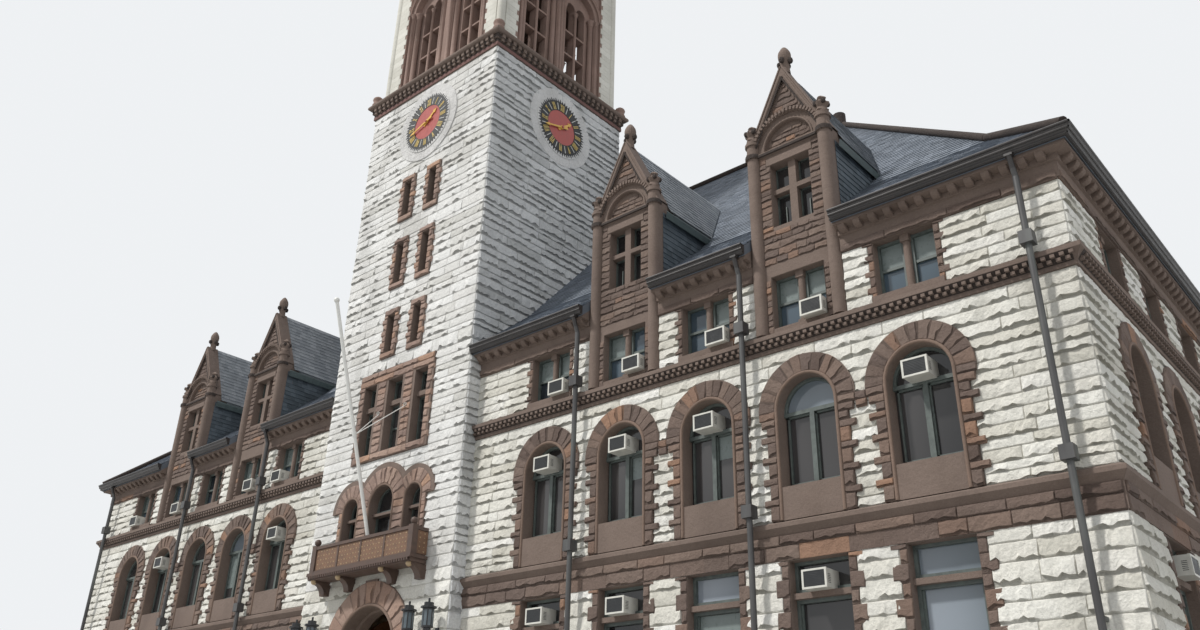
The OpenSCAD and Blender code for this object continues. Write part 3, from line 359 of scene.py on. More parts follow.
# Painted reflection: the pale glass is the sky mirrored in a few windows, laid as a sheet over their panes.
glass("sky_reflection_glass", (96, 108, 115), (150, 158, 168))
glass("window_glass", (30, 31, 33), (72, 70, 70))
glass("upper_window_glass", (38, 44, 50), (84, 100, 112))
slates("slate", (96, 104, 114), (111, 119, 130), (126, 134, 145))
# The dormer roofs' slate is a lighter copy of the slate: painted light.
slates("painted_light_dormer_slate", (118, 123, 129), (132, 137, 142), (146, 150, 155))
# The cheeks' slate is a darker copy of the slate: painted shade from the dormers' eaves.
slates("painted_shade_cheek_slate", (66, 75, 82), (77, 87, 95), (91, 101, 109))
rainwater_goods()

# The CAD nodes' finishes
DRESS = {
    "granite_plain": "front_walls end_walls rear_wall entrance_piers entrance_steps tower_front_wall "
                     "tower_side_walls tower_rear_wall belfry_piers",
    "dial_surround_granite": "clock_surrounds",
    "brownstone_plain": "entrance_arch dormer_gables string_courses eaves_cornice first_storey_trim "
                        "second_storey_arches third_storey_trim tower_trim tower_cornice upper_cornice",
    "belfry_brownstone": "belfry_front_rear belfry_sides",
    "slate": "roof_front roof_behind_tower roof_rear roof_ends spire_roof",
    "painted_light_dormer_slate": "dormer_roofs",
    "painted_shade_cheek_slate": "dormer_cheeks",
    "dark_brownstone_and_painted_shade": "ridge_and_hip_caps",
    "floor_boards": "first_floor second_floor third_floor attic_floor belfry_floor",
    "window_glass": "first_storey_glass second_storey_glass dormer_glass tower_glass",
    "upper_window_glass": "third_storey_glass",
    "weathered_timber": "balcony",
    "door_oak": "entrance_doors",
    "rainwater_goods": "gutters_and_downpipes",
    "black_iron": "lanterns",
    "red_enamel": "clock_dials",
    "cream_sheet": "air_conditioners",
    "white_paint": "flagpole",
    "gilt": " ".join(f"{side}_{hand}_hand" for side in ("front", "right", "rear", "left")
                     for hand in ("minute", "hour")),
}
for finish, names in DRESS.items():
    for name in names.split():
        NODES[name].data.materials.clear()
        NODES[name].data.materials.append(FINISHES[finish][0])


class Shape:
    """Collects faces for one piece. Each has a tone and an unshaded share from 0 to 1; its material paints
    shade where the share is low.
    """

    collected = []

    def __init__(self, name, finish, coarse=1.0, smooth=False):
        self.name, self.finish, self.coarse, self.smooth = name, finish, coarse, smooth
        self.points, self.faces, self.tones, self.clean, self.count = [], [], [], [], 0
        Shape.collected.append(self)

    def add(self, points, faces, tone=0.5, clean=1.0):
        points = np.asarray(points, float).reshape(-1, 3)
        self.points.append(points)
        self.faces.append(np.asarray(faces, int) + self.count)
        self.tones.append(np.full(len(faces), tone))
        self.clean.append(np.broadcast_to(clean, len(faces)))
        self.count += len(points)

    def sheet(self, points, tone=0.5, clean=1.0, closed=False):
        """Quads between rows of points. A closed row's last point is joined to its first."""
        points = np.asarray(points, float)
        rows, cols = points.shape[:2]
        index = np.arange(rows * cols).reshape(rows, cols)
        here, after = (index, np.roll(index, -1, axis=1)) if closed else (index[:, :-1], index[:, 1:])
        quads = np.stack([here[:-1], after[:-1], after[1:], here[1:]], -1)
        self.add(points, quads.reshape(-1, 4), tone, clean)

    def sweep(self, rings, tone=0.5):
        """A sheet whose rows are closed rings."""
        self.sheet(rings, tone, closed=True)

    def box(self, wall, u, v, z, tone=0.5, back=False):
        """A box in a wall's axes, without its hidden back unless asked."""
        points = [wall.place(a, b, c) for b in v for c in z for a in u]
        faces = [(4, 5, 7, 6), (0, 1, 5, 4), (2, 6, 7, 3), (0, 4, 6, 2), (1, 3, 7, 5), (0, 2, 3, 1)]
        self.add(points, faces if back else faces[:5], tone)

    def make(self, body="building"):
        """Turns what was collected into an object that rides on a body."""
        points, faces, tones, clean = map(np.concatenate, (self.points, self.faces, self.tones, self.clean))
        material, slot = FINISHES[self.finish]
        corners = faces.shape[1]
        mesh = bpy.data.meshes.new(self.name)
        mesh.vertices.add(len(points))
        mesh.vertices.foreach_set("co", points.ravel())
        mesh.loops.add(faces.size)
        mesh.loops.foreach_set("vertex_index", faces.ravel())
        mesh.polygons.add(len(faces))
        mesh.polygons.foreach_set("loop_start", np.arange(0, faces.size, corners))
        mesh.update(calc_edges=True)
        mesh.validate()
        tones, clean = np.repeat(tones, corners), np.repeat(clean, corners)
        layer = mesh.color_attributes.new("tone", "FLOAT_COLOR", "CORNER")
        layer.data.foreach_set("color", np.stack([tones, clean, clean, np.ones_like(tones)], -1).ravel())
        mesh.polygons.foreach_set("use_smooth", np.full(len(mesh.polygons), self.smooth))
        mesh.materials.append(material)
        obj = bpy.data.objects.new(self.name, mesh)
        bpy.context.scene.collection.objects.link(obj)
        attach(obj, body)


# Stones. An outline maps the unit square, by s and t, to u and z
JOINT = 0.002


def rect(u, z):
    """An upright rectangle's outline and its size."""
    length, height = u[1] - u[0], z[1] - z[0]

    def outline(s, t):
        return u[0] + length * s, z[0] + height * t
    return outline, (length, height)


def polar(centre, r, a):
    """The outline between two radii, along s, and two angles, along t."""
    def outline(s, t):
        radius, angle = r[0] + (r[1] - r[0]) * s, a[0] + (a[1] - a[0]) * t
        return centre[0] + radius * np.cos(angle), centre[1] + radius * np.sin(angle)
    return outline


def rock_face(shape, wall, outline, size, base, bulge, cell=0.05, tone=None, chip=0.8):
    """A rock-faced stone of a length and height.

    Along the chipped share of its foot the face stands out to a jagged edge and falls back under it.
    """
    length, height = size
    edge = min(0.008 / length, 0.2)
    cols = max(2, round(length / (cell * shape.coarse)))
    inner = np.linspace(edge, 1 - edge, cols + 1)
    inner[1:-1] += rng.uniform(-0.3, 0.3, cols - 1) / cols
    s = np.concatenate([[0], inner, [1]])
    n = len(s) - 2
    wave = np.convolve(rng.uniform(0, 1, n + 2), [0.3, 0.4, 0.3], "valid")
    share = np.clip(chip * rng.uniform(0.3, 1.7), 0, 1)
    broken = np.clip((0.5 + 0.44 * (share - 0.5) - wave) / 0.07 + 0.5, 0, 1)
    flush = 0.22 + 0.5 * chip
    jag = broken * rng.choice([0.03, 0.08, 0.14, 0.22], n)
    ledge = rng.uniform(0, 1, n) < 0.6 * chip ** 2
    crest = 0.09 + jag
    lip = crest - 0.05
    depth = [0.6 * flush + broken * (0.15 - 0.6 * flush), flush + broken * (1 - flush),
             (flush + 0.4 * broken * (1 - flush)) * 1.1, flush * np.where(ledge, 1.0, 0.7)]
    if height > 0.07:
        levels = [lip, crest, 0.52 + rng.uniform(-0.14, 0.14, n) + 0.2 * jag,
                  0.95 - ledge * rng.uniform(0.06, 0.2, n)]
    else:
        levels, depth = [lip * 1.4, crest * 1.4, np.full(n, 0.88)], depth[:2] + depth[3:]
    rows = len(levels)
    grid_s = np.tile(s, (rows + 2, 1))
    grid_t = np.zeros(grid_s.shape)
    grid_t[-1] = 1
    grid_t[1:-1, 1:-1] = levels
    grid_t[1:-1, 0], grid_t[1:-1, -1] = grid_t[1:-1, 1], grid_t[1:-1, -2]
    rough = rng.uniform(0.8, 1.2, (rows, n)) * np.array(depth)
    rough[:, [0, -1]] *= 0.85
    v = np.full(grid_t.shape, base)
    v[1:-1, 1:-1] += rough * bulge
    # Painted shade: the strip at each stone's foot is marked a little shaded, and the strips under a broken
    # lip much more.
    painted_shade = np.concatenate([[broken[0]], (broken[1:] + broken[:-1]) / 2, [broken[-1]]])
    clean = np.ones((rows + 1, n + 1))
    clean[0] = 0.6 - 0.5 * painted_shade
    clean[1] = 1 - 0.9 * painted_shade
    u, z = outline(grid_s, np.clip(grid_t, 0, 1))
    shape.sheet(wall.place(u, v, z), rng.uniform(0, 1) if tone is None else tone, clean.ravel())


def edges(shape, wall, outline, v, tone, n):
    """The four sides of a stone, from its back to its front."""
    k, zero, one = np.arange(n) / n, np.zeros(n), np.ones(n)
    u, z = outline(np.concatenate([k, one, 1 - k, zero]), np.concatenate([zero, k, one, 1 - k]))
    shape.sweep([wall.place(u, v[0], z), wall.place(u, v[1], z)], tone)


def flat_stone(shape, wall, outline, v, tone, n=3):
    """A smooth stone with its sides."""
    edges(shape, wall, outline, v, tone, n)
    u, z = outline(*np.meshgrid(np.linspace(0, 1, n + 1), np.linspace(0, 1, n + 1)))
    shape.sheet(wall.place(u, v[1], z), tone)


def dressed(shape, wall, outline, size, front, bulge, n=1, chip=0.8):
    """A stone that stands out of the wall as far as front, with a rock face on it."""
    value = rng.uniform(0, 1)
    edges(shape, wall, outline, (0.0, front), value, n)
    rock_face(shape, wall, outline, size, front, bulge, 0.07, value, chip)


def dressed_rect(shape, wall, u, z, front, bulge):
    dressed(shape, wall, *rect((u[0] + JOINT, u[1] - JOINT), (z[0] + JOINT, z[1] - JOINT)), front, bulge)


def uneven(a, b, count, wander):
    """A stretch in parts of uneven length, as pairs of ends."""
    cuts = np.linspace(a, b, count + 1)
    cuts[1:-1] += rng.uniform(-wander, wander, count - 1) * (b - a) / count
    return pairwise(cuts)


def middles(a, b, count):
    """The middles of a stretch's equal parts."""
    return [a + (i + 0.5) * (b - a) / count for i in range(count)]


def courses(z0, z1, heights):
    """Course joints from z0 to z1, with heights picked at random and fitted to the whole."""
    picked, total = [], 0.0
    while total < z1 - z0 - 0.4 * heights[0]:
        picked.append(heights[int(rng.integers(len(heights)))])
        total += picked[-1]
    joints = [z0]
    for h in picked:
        joints.append(joints[-1] + h * ((z1 - z0) / total))
    return joints


def snap(joints, heights):
    """Moves the nearest joint of some courses to each height."""
    for z in heights:
        joints[min(range(1, len(joints) - 1), key=lambda i: abs(joints[i] - z))] = z
    return joints


def free_spans(u0, u1, blocked):
    """What is left of a course after the blocked stretches are taken out."""
    spans, start = [], u0
    for a, b in sorted(blocked):
        if a > start:
            spans.append((start, min(a, u1)))
        start = max(start, b)
    if start < u1:
        spans.append((start, u1))
    return [(a, b) for a, b in spans if b - a > 0.03]


def rect_gap(u, half, z0, z1):
    """Blocks a course that passes an upright rectangle."""
    def gap(c0, c1):
        return (u - half, u + half) if c1 > z0 + 0.002 and c0 < z1 - 0.002 else None
    return gap


def disc_gap(u, z, r, upper_only=True):
    """Blocks a course that passes a disc, or its upper half."""
    def gap(c0, c1):
        if c1 <= z - r or c0 >= z + r or (upper_only and c1 <= z):
            return None
        far = abs(c1 - z) if upper_only else max(abs(c0 - z), abs(c1 - z))
        near = math.sqrt(max(r * r - far * far, 0))
        return (u - near, u + near) if near > 0.01 else None
    return gap


def slope_gap(u, half, z0, z1, side):
    """Blocks a course on the outer side of a slope that leans in from (half, z0) to (0, z1)."""
    def gap(c0, c1):
        edge = half * max(0.0, (z1 - c1) / (z1 - z0))
        return tuple(sorted((u + side * edge, u + side * EVERYWHERE))) if c1 > z0 else None
    return gap


def ashlar(shape, wall, u0, u1, joints, gaps=(), lengths=(0.4, 0.85), bulge=0.034, base=0.0, chip=0.8):
    """Lays rock-faced courses on a wall, leaving out what the gaps block."""
    for z0, z1 in pairwise(joints):
        blocked = [g for g in (gap(z0, z1) for gap in gaps) if g]
        for a, b in free_spans(u0, u1, blocked):
            for c, d in uneven(a, b, max(1, round((b - a) / rng.uniform(*lengths))), 0.28):
                if d - c >= 0.03 and z1 - z0 >= 0.02:
                    block = rect((c + JOINT / 2, d - JOINT / 2), (z0 + JOINT, z1 - JOINT))
                    rock_face(shape, wall, *block, base, bulge, chip=chip)


def window_gaps(bays):
    """What the three rows of windows, with their trim, take out of a wall's courses."""
    gaps = []
    for u in bays:
        gaps += [rect_gap(u, WIN1.half + QUOIN1[0], WIN1.sill - 0.1, WIN1.head + 0.1),
                 rect_gap(u, WIN2.half + QUOIN2[0], STRING1[1], WIN2.head),
                 disc_gap(u, WIN2.head, WIN2.half + RING_W - 0.02),
                 rect_gap(u, WIN3.half + QUOIN3[0], STRING2[1], FRIEZE_Z)]
    return gaps


def roof_run(z):
    """How far behind a wall's face the slope over it reaches the height z."""
    if z < FOOT_TOP:
        return max((z - EAVE_Z) / FOOT_SLOPE - EAVE_OUT, 0.0)
    return FOOT_RUN + (z - FOOT_TOP) / MAIN_SLOPE - EAVE_OUT


# Stones of the five main walls
base_joints = courses(0.0, BASE_H - 0.01, [0.25, 0.2, 0.3])
wall_joints = (snap(courses(BASE_H + BASE_OUT, STRING1[0], [0.15, 0.22, 0.19]), (WIN1.sill - 0.1,)),
               courses(STRING1[1], STRING2[0], [0.1, 0.15, 0.18, 0.12]),
               courses(STRING2[1], FRIEZE_Z - 0.02, [0.12, 0.15]))
for name, _, wall, u0, u1, bays, dormers, chip, coarse in MAIN_WALLS:
    blocks = Shape(name, "granite_blocks", coarse)
    gaps = window_gaps(bays) + [rect_gap(u, DORMER_HALF, STRING2[1], EVERYWHERE) for u in dormers]
    ashlar(blocks, wall, u0, u1, base_joints, gaps, (0.5, 0.9), 0.03, BASE_OUT, 0.5)
    for joints in wall_joints:
        ashlar(blocks, wall, u0, u1, joints, gaps, chip=chip)

# Stones of the tower
tower_joints = snap(courses(PORCH_TOP, SHAFT_TOP, [0.11, 0.16, 0.14, 0.19]),
                    (*TRIPLE, *(z for z0, z1 in SLIT_ROWS for z in (z0 - 0.1, z1 + 0.11))))
front_gaps = [rect_gap(u, 0.2, z0 - 0.1, z1 + 0.1) for u, z0, z1 in SLITS]
front_gaps += [rect_gap(0, 1.0, *TRIPLE), rect_gap(0, 1.12, ARCH_FOOT - 0.26, ARCH_SPRING),
               disc_gap(0, ARCH_SPRING, 0.67)]
front_gaps += [disc_gap(s * ARCH_SIDE, ARCH_SPRING, 0.5) for s in SIDES]
dial_gap = disc_gap(0, DIAL_Z, 0.84, upper_only=False)


def indoors(side):
    """Blocks the part of a course on the tower's side that lies under the roof behind it."""
    def gap(c0, c1):
        inner = max(roof_run(c1) + 0.03, 0.0) - TOWER_MID
        return tuple(sorted((side * inner, side * EVERYWHERE)))
    return gap


def tower_courses(name, finish, wall, half, joints, gaps, chip):
    ashlar(Shape(name, finish), wall, -half, half, joints, gaps, chip=chip)


tower_courses("tower_front_stones", "tower_granite", TOWER_F, TOWER_HALF, tower_joints,
              front_gaps + [dial_gap], 0.24)
porch_joints = courses(0.0, PORCH_TOP, [0.2, 0.17, 0.24])
for name, wall, side in (("right", TOWER_R, 1), ("left", TOWER_L, -1)):
    for part, joints, gaps, chip in (("", tower_joints, [dial_gap], 0.85), ("foot_", porch_joints, [], 0.95)):
        tower_courses(f"tower_{name}_{part}stones", "shaded_granite", wall, TOWER_SIDE, joints,
                      gaps + [indoors(side)], chip)
tower_courses("tower_rear_stones", "shaded_granite", TOWER_B, TOWER_HALF,
              [z for z in tower_joints if z > REAR_FOOT], [dial_gap], 0.85)
tower_courses("porch_stones", "granite_blocks", TOWER_F, TOWER_HALF, porch_joints,
              [rect_gap(0, DOOR_HALF, -0.1, DOOR_SPRING), disc_gap(0, DOOR_SPRING, DOOR_RING - 0.018)], 0.35)

# Steps: stones on the side walls, copings and nosings
steps, coping = Shape("step_wall_stones", "granite_blocks"), Shape("step_copings", "granite_smooth")
stair_front = Wall(0, TOWER_FRONT - STAIR_RUN, 0)
stair_joints = courses(0.0, STAIR_WALL, [0.22, 0.18])
for s in SIDES:
    stair_side = Wall(s * STAIR_HALF, TOWER_FRONT, 2 - s)
    for wall, ends, lengths in ((stair_side, (-s * STAIR_RUN, -s * 0.01), (0.35, 0.6)),
                                (stair_front, (s * (STAIR_INNER + 0.01), s * STAIR_HALF), (0.25, 0.3))):
        ashlar(steps, wall, *sorted(ends), stair_joints, (), lengths, 0.02, chip=0.3)
    coping.box(stair_front, sorted((s * STAIR_INNER, s * (STAIR_HALF + 0.025))), (-STAIR_RUN, 0.025),
               (STAIR_WALL, STAIR_WALL + 0.064), 0.6, True)
for i in range(STEPS):
    v, z = STAIR_RUN - i * STAIR_RUN / STEPS, (i + 1) * FLOOR1 / STEPS
    coping.box(TOWER_F, (-STAIR_INNER, STAIR_INNER), (v - 0.03, v + 0.01), (z - 0.024, z + 0.003),
               rng.uniform(0, 1), True)


# Forms that windows, arches and shafts share
def arch_path(half, z0, spring, n=20):
    """Points and outward normals round an opening, up one jamb, over the arch and down the other."""
    angles = np.linspace(0, math.pi, n + 1)
    nu, nz = np.cos(angles), np.sin(angles)
    return (np.concatenate([[half], half * nu, [-half]]), np.concatenate([[z0], spring + half * nz, [z0]]),
            np.concatenate([[1], nu, [-1]]), np.concatenate([[0], nz, [0]]))


def square_path(half, z0, z1):
    """The same round a square-headed opening."""
    return (half, half, -half, -half), (z0, z1, z1, z0), (1, 1, -1, -1), (0, 1, 1, 0)


def trace(shape, wall, centre, path, profile, tone=0.5):
    """Sweeps a profile of (distance out of the opening, v) along a path."""
    off, v = np.array(profile).T
    shape.sheet([wall.place(centre + u + off * nu, v, z + off * nz) for u, z, nu, nz in zip(*path)], tone)


def reveal(lap, front, *more):
    """The profile of an opening's side from the frame's back to the front."""
    return [(-lap, FRAME_BACK), (-lap, front), *more]


def roll_profile(n0, v0, r):
    """A half-round moulding between an opening's edge and the stones outside it."""
    return [(n0 + r + r * math.cos(a), v0 + r * math.sin(a)) for a in np.linspace(math.pi, 0, 7)]


def quoins(shape, wall, u, side, z0, z1, lengths, heights, front, bulge):
    """Toothed jamb stones, short tall ones and long thin ones in turn."""
    z, i = z0, 0
    while z < z1 - 0.03:
        top = z1 if z + heights[i] > z1 - 0.04 else z + heights[i]
        reach = lengths[i] + rng.uniform(-0.008, 0.008)
        dressed_rect(shape, wall, sorted((u, u + side * reach)), (z, top), front, bulge)
        z, i = top, 1 - i


def voussoirs(shape, wall, centre, r, count, front, bulge):
    """The stones of a half-round arch ring."""
    gap = JOINT / r[0]
    for a0, a1 in uneven(0, math.pi, count, 0.18):
        outer = r[1] + rng.uniform(-0.012, 0.004)
        outline = polar(centre, (r[0], outer), (a0 + gap, a1 - gap))
        dressed(shape, wall, outline, (outer - r[0], (a1 - a0) * r[1]), front, 0.65 * bulge, 3, 0.5)


def ring(shape, wall, u, z, r, v, n=20, turn=math.pi):
    """A flat arch bar, or a whole ring, with its edges."""
    radius, depth = np.repeat(r, 2), np.take(v, [0, 1, 1, 0])
    shape.sheet([wall.place(u + radius * math.cos(a), depth, z + radius * math.sin(a))
                 for a in np.linspace(0, turn, n + 1)])


def lathe(shape, centre, profile, n=12, tone=0.5, lobes=0, depth=0.0):
    """Turns a profile of (radius, height) about an upright axis, with lobes where asked."""
    angles = np.arange(n) * TURN / n
    swell = 1 + depth * np.cos(lobes * angles)
    x, y = swell * np.cos(angles), swell * np.sin(angles)
    shape.sweep([centre + np.stack([r * x, r * y, np.full(n, z)], -1) for r, z in profile], tone)


def colonnette(shape, foot, height, r):
    """A round shaft with a moulded base and a leafy capital."""
    shaft = [(1.5, 0), (1.5, 0.5), (1.25, 0.7), (1.35, 1.0), (1, 1.3)]
    neck = [(1, -3.2), (1.2, -3.1), (1.2, -2.8), (1, -2.7)]
    leafy = [(1.0, -2.7), (1.3, -2.0), (1.15, -1.6), (1.75, -0.9), (1.5, -0.5)]
    lathe(shape, foot, [(a * r, b * r) for a, b in shaft] + [(a * r, height + b * r) for a, b in neck])
    lathe(shape, foot + [0, 0, height], [(a * r, b * r) for a, b in leafy], 16, 0.5, 8, 0.12)


def lintel_course(shape, wall, u0, u1, z, front, bulge, lengths=(0.3, 0.6), smooth=0.0):
    """One course of dressed stones, some of them rubbed smooth."""
    for a, b in uneven(u0, u1, max(1, round((u1 - u0) / rng.uniform(*lengths))), 0.25):
        if rng.uniform() < smooth:
            shape.box(wall, (a + 0.001, b - 0.001), (0, front + 0.004), (z[0] + 0.001, z[1] - 0.001),
                      rng.uniform(0, 1))
        else:
            dressed_rect(shape, wall, (a, b), z, front, bulge)


def bars(shape, wall, u, back=FRAME_BACK):
    """A way to add bars about u, from a to b along the wall and from z0 to z1."""
    def bar(a, b, z0, z1, front=FRAME_FRONT):
        shape.box(wall, sorted((u + a, u + b)), (back, front), (z0, z1))
    return bar


def light_frame(bar, a, b, z0, z1, stile, rails, fronts):
    """A frame round one light: its stiles, with the first front, and its rails, with the second."""
    bar(a, a + stile, z0, z1, fronts[0])
    bar(b - stile, b, z0, z1, fronts[0])
    bar(a, b, z0, z0 + rails[0], fronts[1])
    bar(a, b, z1 - rails[1], z1, fronts[1])


# Windows of the three storeys
def blind(kit, wall, u, z):
    kit.blinds.box(wall, u, (GLASS_V, BLIND_V), z, rng.uniform(0, 1))


def first_window(kit, wall, u):
    half, sill, head = WIN1
    bar = bars(kit.frames, wall, u)
    trace(kit.plain, wall, u, square_path(*WIN1), reveal(0.004, 0.004, (0.0, 0.01)), 0.3)
    for s in SIDES:
        quoins(kit.rough, wall, u + s * half, s, sill, head, QUOIN1, (0.15, 0.2), 0.012, 0.018)
    for z0, z1, upper in ((sill, TRANSOM[0], False), (TRANSOM[1], head, True)):
        for s in SIDES:
            bar(s * (half - 0.045), s * half, z0 + 0.045, z1 - 0.04)
        bar(-half, half, z1 - 0.04, z1)
        bar(-half, half, z0, z0 + 0.045)
        # Painted reflection: a few lights get a pale sheet over their glass.
        if wall is FRONT and (u in (BAYS[4], -BAYS[2]) or upper and u == BAYS[2]):
            kit.pale.box(wall, (u - half + 0.04, u + half - 0.04), (GLASS_V, PALE_V), (z0 + 0.04, z1 - 0.04))
    z0, z1, middle = sill, TRANSOM[0], (sill + TRANSOM[0]) / 2
    bar(-half, half, middle - 0.025, middle + 0.025, -0.125)
    for s in SIDES:
        bar(s * (half - 0.07), s * (half - 0.045), z0 + 0.055, z1 - 0.045, -0.135)
    if rng.uniform() < 0.35:
        drop = middle if rng.uniform() < 0.5 else z0 + 0.4
        blind(kit, wall, (u - half + 0.07, u + half - 0.07), (drop, z1 - 0.045))


def second_window(kit, wall, u):
    half, sill, spring = WIN2
    sash, foot = spring - 0.03, sill + 0.045
    bar = bars(kit.frames, wall, u)
    trace(kit.plain, wall, u, arch_path(*WIN2), reveal(0.004, TRIM_OUT + 0.004), 0.3)
    path = arch_path(half, STRING1[1] + 0.004, spring)
    trace(kit.light, wall, u, path, roll_profile(-0.004, TRIM_OUT, 0.022))
    stones = int(rng.integers(12, 15))
    voussoirs(kit.rough, wall, (u, spring), (half + ROLL_W, half + RING_W), stones, FACE, 0.022)
    for s in SIDES:
        edge = u + s * (half + ROLL_W)
        quoins(kit.rough, wall, edge, s, STRING1[1] + 0.003, CAP_COURSES[0][0],
               (QUOIN2[0] - ROLL_W, QUOIN2[1] - ROLL_W), (0.175, 0.082), FACE, 0.018)
        for z, reach in zip(CAP_COURSES, (0.235, 0.262)):
            dressed_rect(kit.rough, wall, sorted((edge, u + s * (half + reach))), z, FACE, 0.02)
    trace(kit.frames, wall, u, arch_path(half, sash, spring),
          reveal(ROLL_W, -0.118, (-0.032, FRAME_FRONT), (0.0, FRAME_FRONT)))
    bar(-half, half, sash - 0.022, sash + 0.026, -0.1)
    bar(ROLL_W - half, half - ROLL_W, sill, foot)
    bar(-0.03, 0.03, foot, sash - 0.022, -0.1)
    # Painted reflection: a few lights get a pale sheet over their glass.
    if wall is FRONT and u in (BAYS[3], -BAYS[1]):
        ring(kit.pale, wall, u, spring, (0.004, half - 0.03), (GLASS_V, PALE_V))
    for s in SIDES:
        a, b = sorted((s * 0.03, s * (half - ROLL_W)))
        light_frame(bar, a, b, foot, sash - 0.022, 0.02, (0.023, 0.023), (-0.13, -0.13))
        if rng.uniform() < 0.16:
            drop = rng.choice([0.3, 0.45, 0.62])
            blind(kit, wall, (u + a + 0.02, u + b - 0.02), (sash - 0.045 - drop, sash - 0.045))


def third_window(kit, wall, u, quoined):
    half, sill, head = WIN3
    bar = bars(kit.frames, wall, u)
    trace(kit.plain, wall, u, square_path(*WIN3), reveal(0.004, 0.004, (0.0, 0.008)), 0.3)
    for s in SIDES if quoined else ():
        quoins(kit.rough, wall, u + s * half, s, STRING2[1], head, QUOIN3, (0.125, 0.088), 0.012, 0.016)
    rail = sill + 0.35
    for s in SIDES:
        a, b = sorted((s * 0.045, s * half))
        light_frame(bar, a, b, sill, head, 0.03, (0.045, 0.035), (-0.112, -0.115))
        bar(a, b, rail, rail + 0.035, -0.125)
        if rng.uniform() < 0.5:
            blind(kit, wall, (u + a + 0.03, u + b - 0.03), (rail + 0.035, head - 0.035))


def modillion(shape, wall, u):
    """A rounded bracket under the eaves."""
    angles, top = np.linspace(-math.pi / 2, 0, 5), FRIEZE_Z + 0.292
    v, z = np.append(0.02, 0.07 + 0.105 * np.cos(angles)), top + np.append(-0.087, 0.085 * np.sin(angles))
    shape.sheet([wall.place(u + w, v - drop, z + drop)
                 for w, drop in ((-0.047, 0.006), (-0.04, 0), (0.04, 0), (0.047, 0.006))])
    for w, order in ((-0.047, 1), (0.047, -1)):
        shape.sheet([wall.place(u + w, v - 0.006, z + 0.006), wall.place(u + w, 0.02 + 0 * v, top)][::order])


def storey_trim(name, wall, u0, u1, bays, dormers, coarse):
    """Every window of a wall, with the courses over them and the string courses' ornament."""
    kit = SimpleNamespace(rough=Shape(f"{name}_rough_trim", "brownstone_blocks", coarse),
                          plain=Shape(f"{name}_rubbed_trim", "brownstone_plain"),
                          light=Shape(f"{name}_arch_rolls", "brownstone_rolls", smooth=True),
                          dark=Shape(f"{name}_string_hollow", "dark_brownstone_and_painted_shade"),
                          frames=Shape(f"{name}_window_frames", "window_frame_paint"),
                          blinds=Shape(f"{name}_blinds", "window_blind"),
                          pale=Shape(f"{name}_sky_reflection_panes", "sky_reflection_glass"))
    for u in bays:
        first_window(kit, wall, u)
        second_window(kit, wall, u)
        third_window(kit, wall, u, not any(abs(u - d) < 0.1 for d in dormers))
    for i, (a, b) in enumerate(pairwise(sorted(bays))):
        if (i % 2 == 1 or len(bays) > 10) and b - a < 1.7:
            for z in CAP_COURSES:
                ends = (a + WIN2.half + 0.262, b - WIN2.half - 0.262)
                dressed_rect(kit.rough, wall, ends, z, TRIM_OUT, 0.02)
    lintel_course(kit.rough, wall, u0, u1, LINTELS1[1:], 0.03, 0.022)
    lintel_course(kit.rough, wall, u0, u1, LINTELS1[:2], 0.02, 0.02, (0.35, 0.7), 0.5)
    for a, b in free_spans(u0, u1, [(d - 0.64, d + 0.64) for d in dormers]):
        lintel_course(kit.rough, wall, a, b, LINTEL3, 0.034, 0.018, (0.4, 0.8))
        for u in middles(a, b, max(1, round((b - a) / MODILLION_STEP))):
            modillion(kit.plain, wall, u)
    # A near-black sheet in the hollow of the string course under the third storey is painted shade.
    v, z = np.array([(0.033, 0.047), (0.033, 0.061), (0.0705, 0.114), (0.107, 0.153)]).T
    kit.dark.sheet([wall.place(u, v, STRING2[0] + z) for u in (u1, u0)])
    foot = STRING2[0] + 0.062
    for c in middles(u0, u1, round((u1 - u0) / DENTIL_STEP)):
        kit.plain.box(wall, (c - 0.024, c + 0.024), (0.02, 0.078), (foot, foot + 0.035))
        kit.plain.box(wall, (c + 0.024, c + 0.071), (0.03, 0.105), (foot + 0.045, foot + 0.081))


for _, name, wall, u0, u1, bays, dormers, _, coarse in MAIN_WALLS:
    storey_trim(name, wall, u0, u1, bays, dormers, coarse)


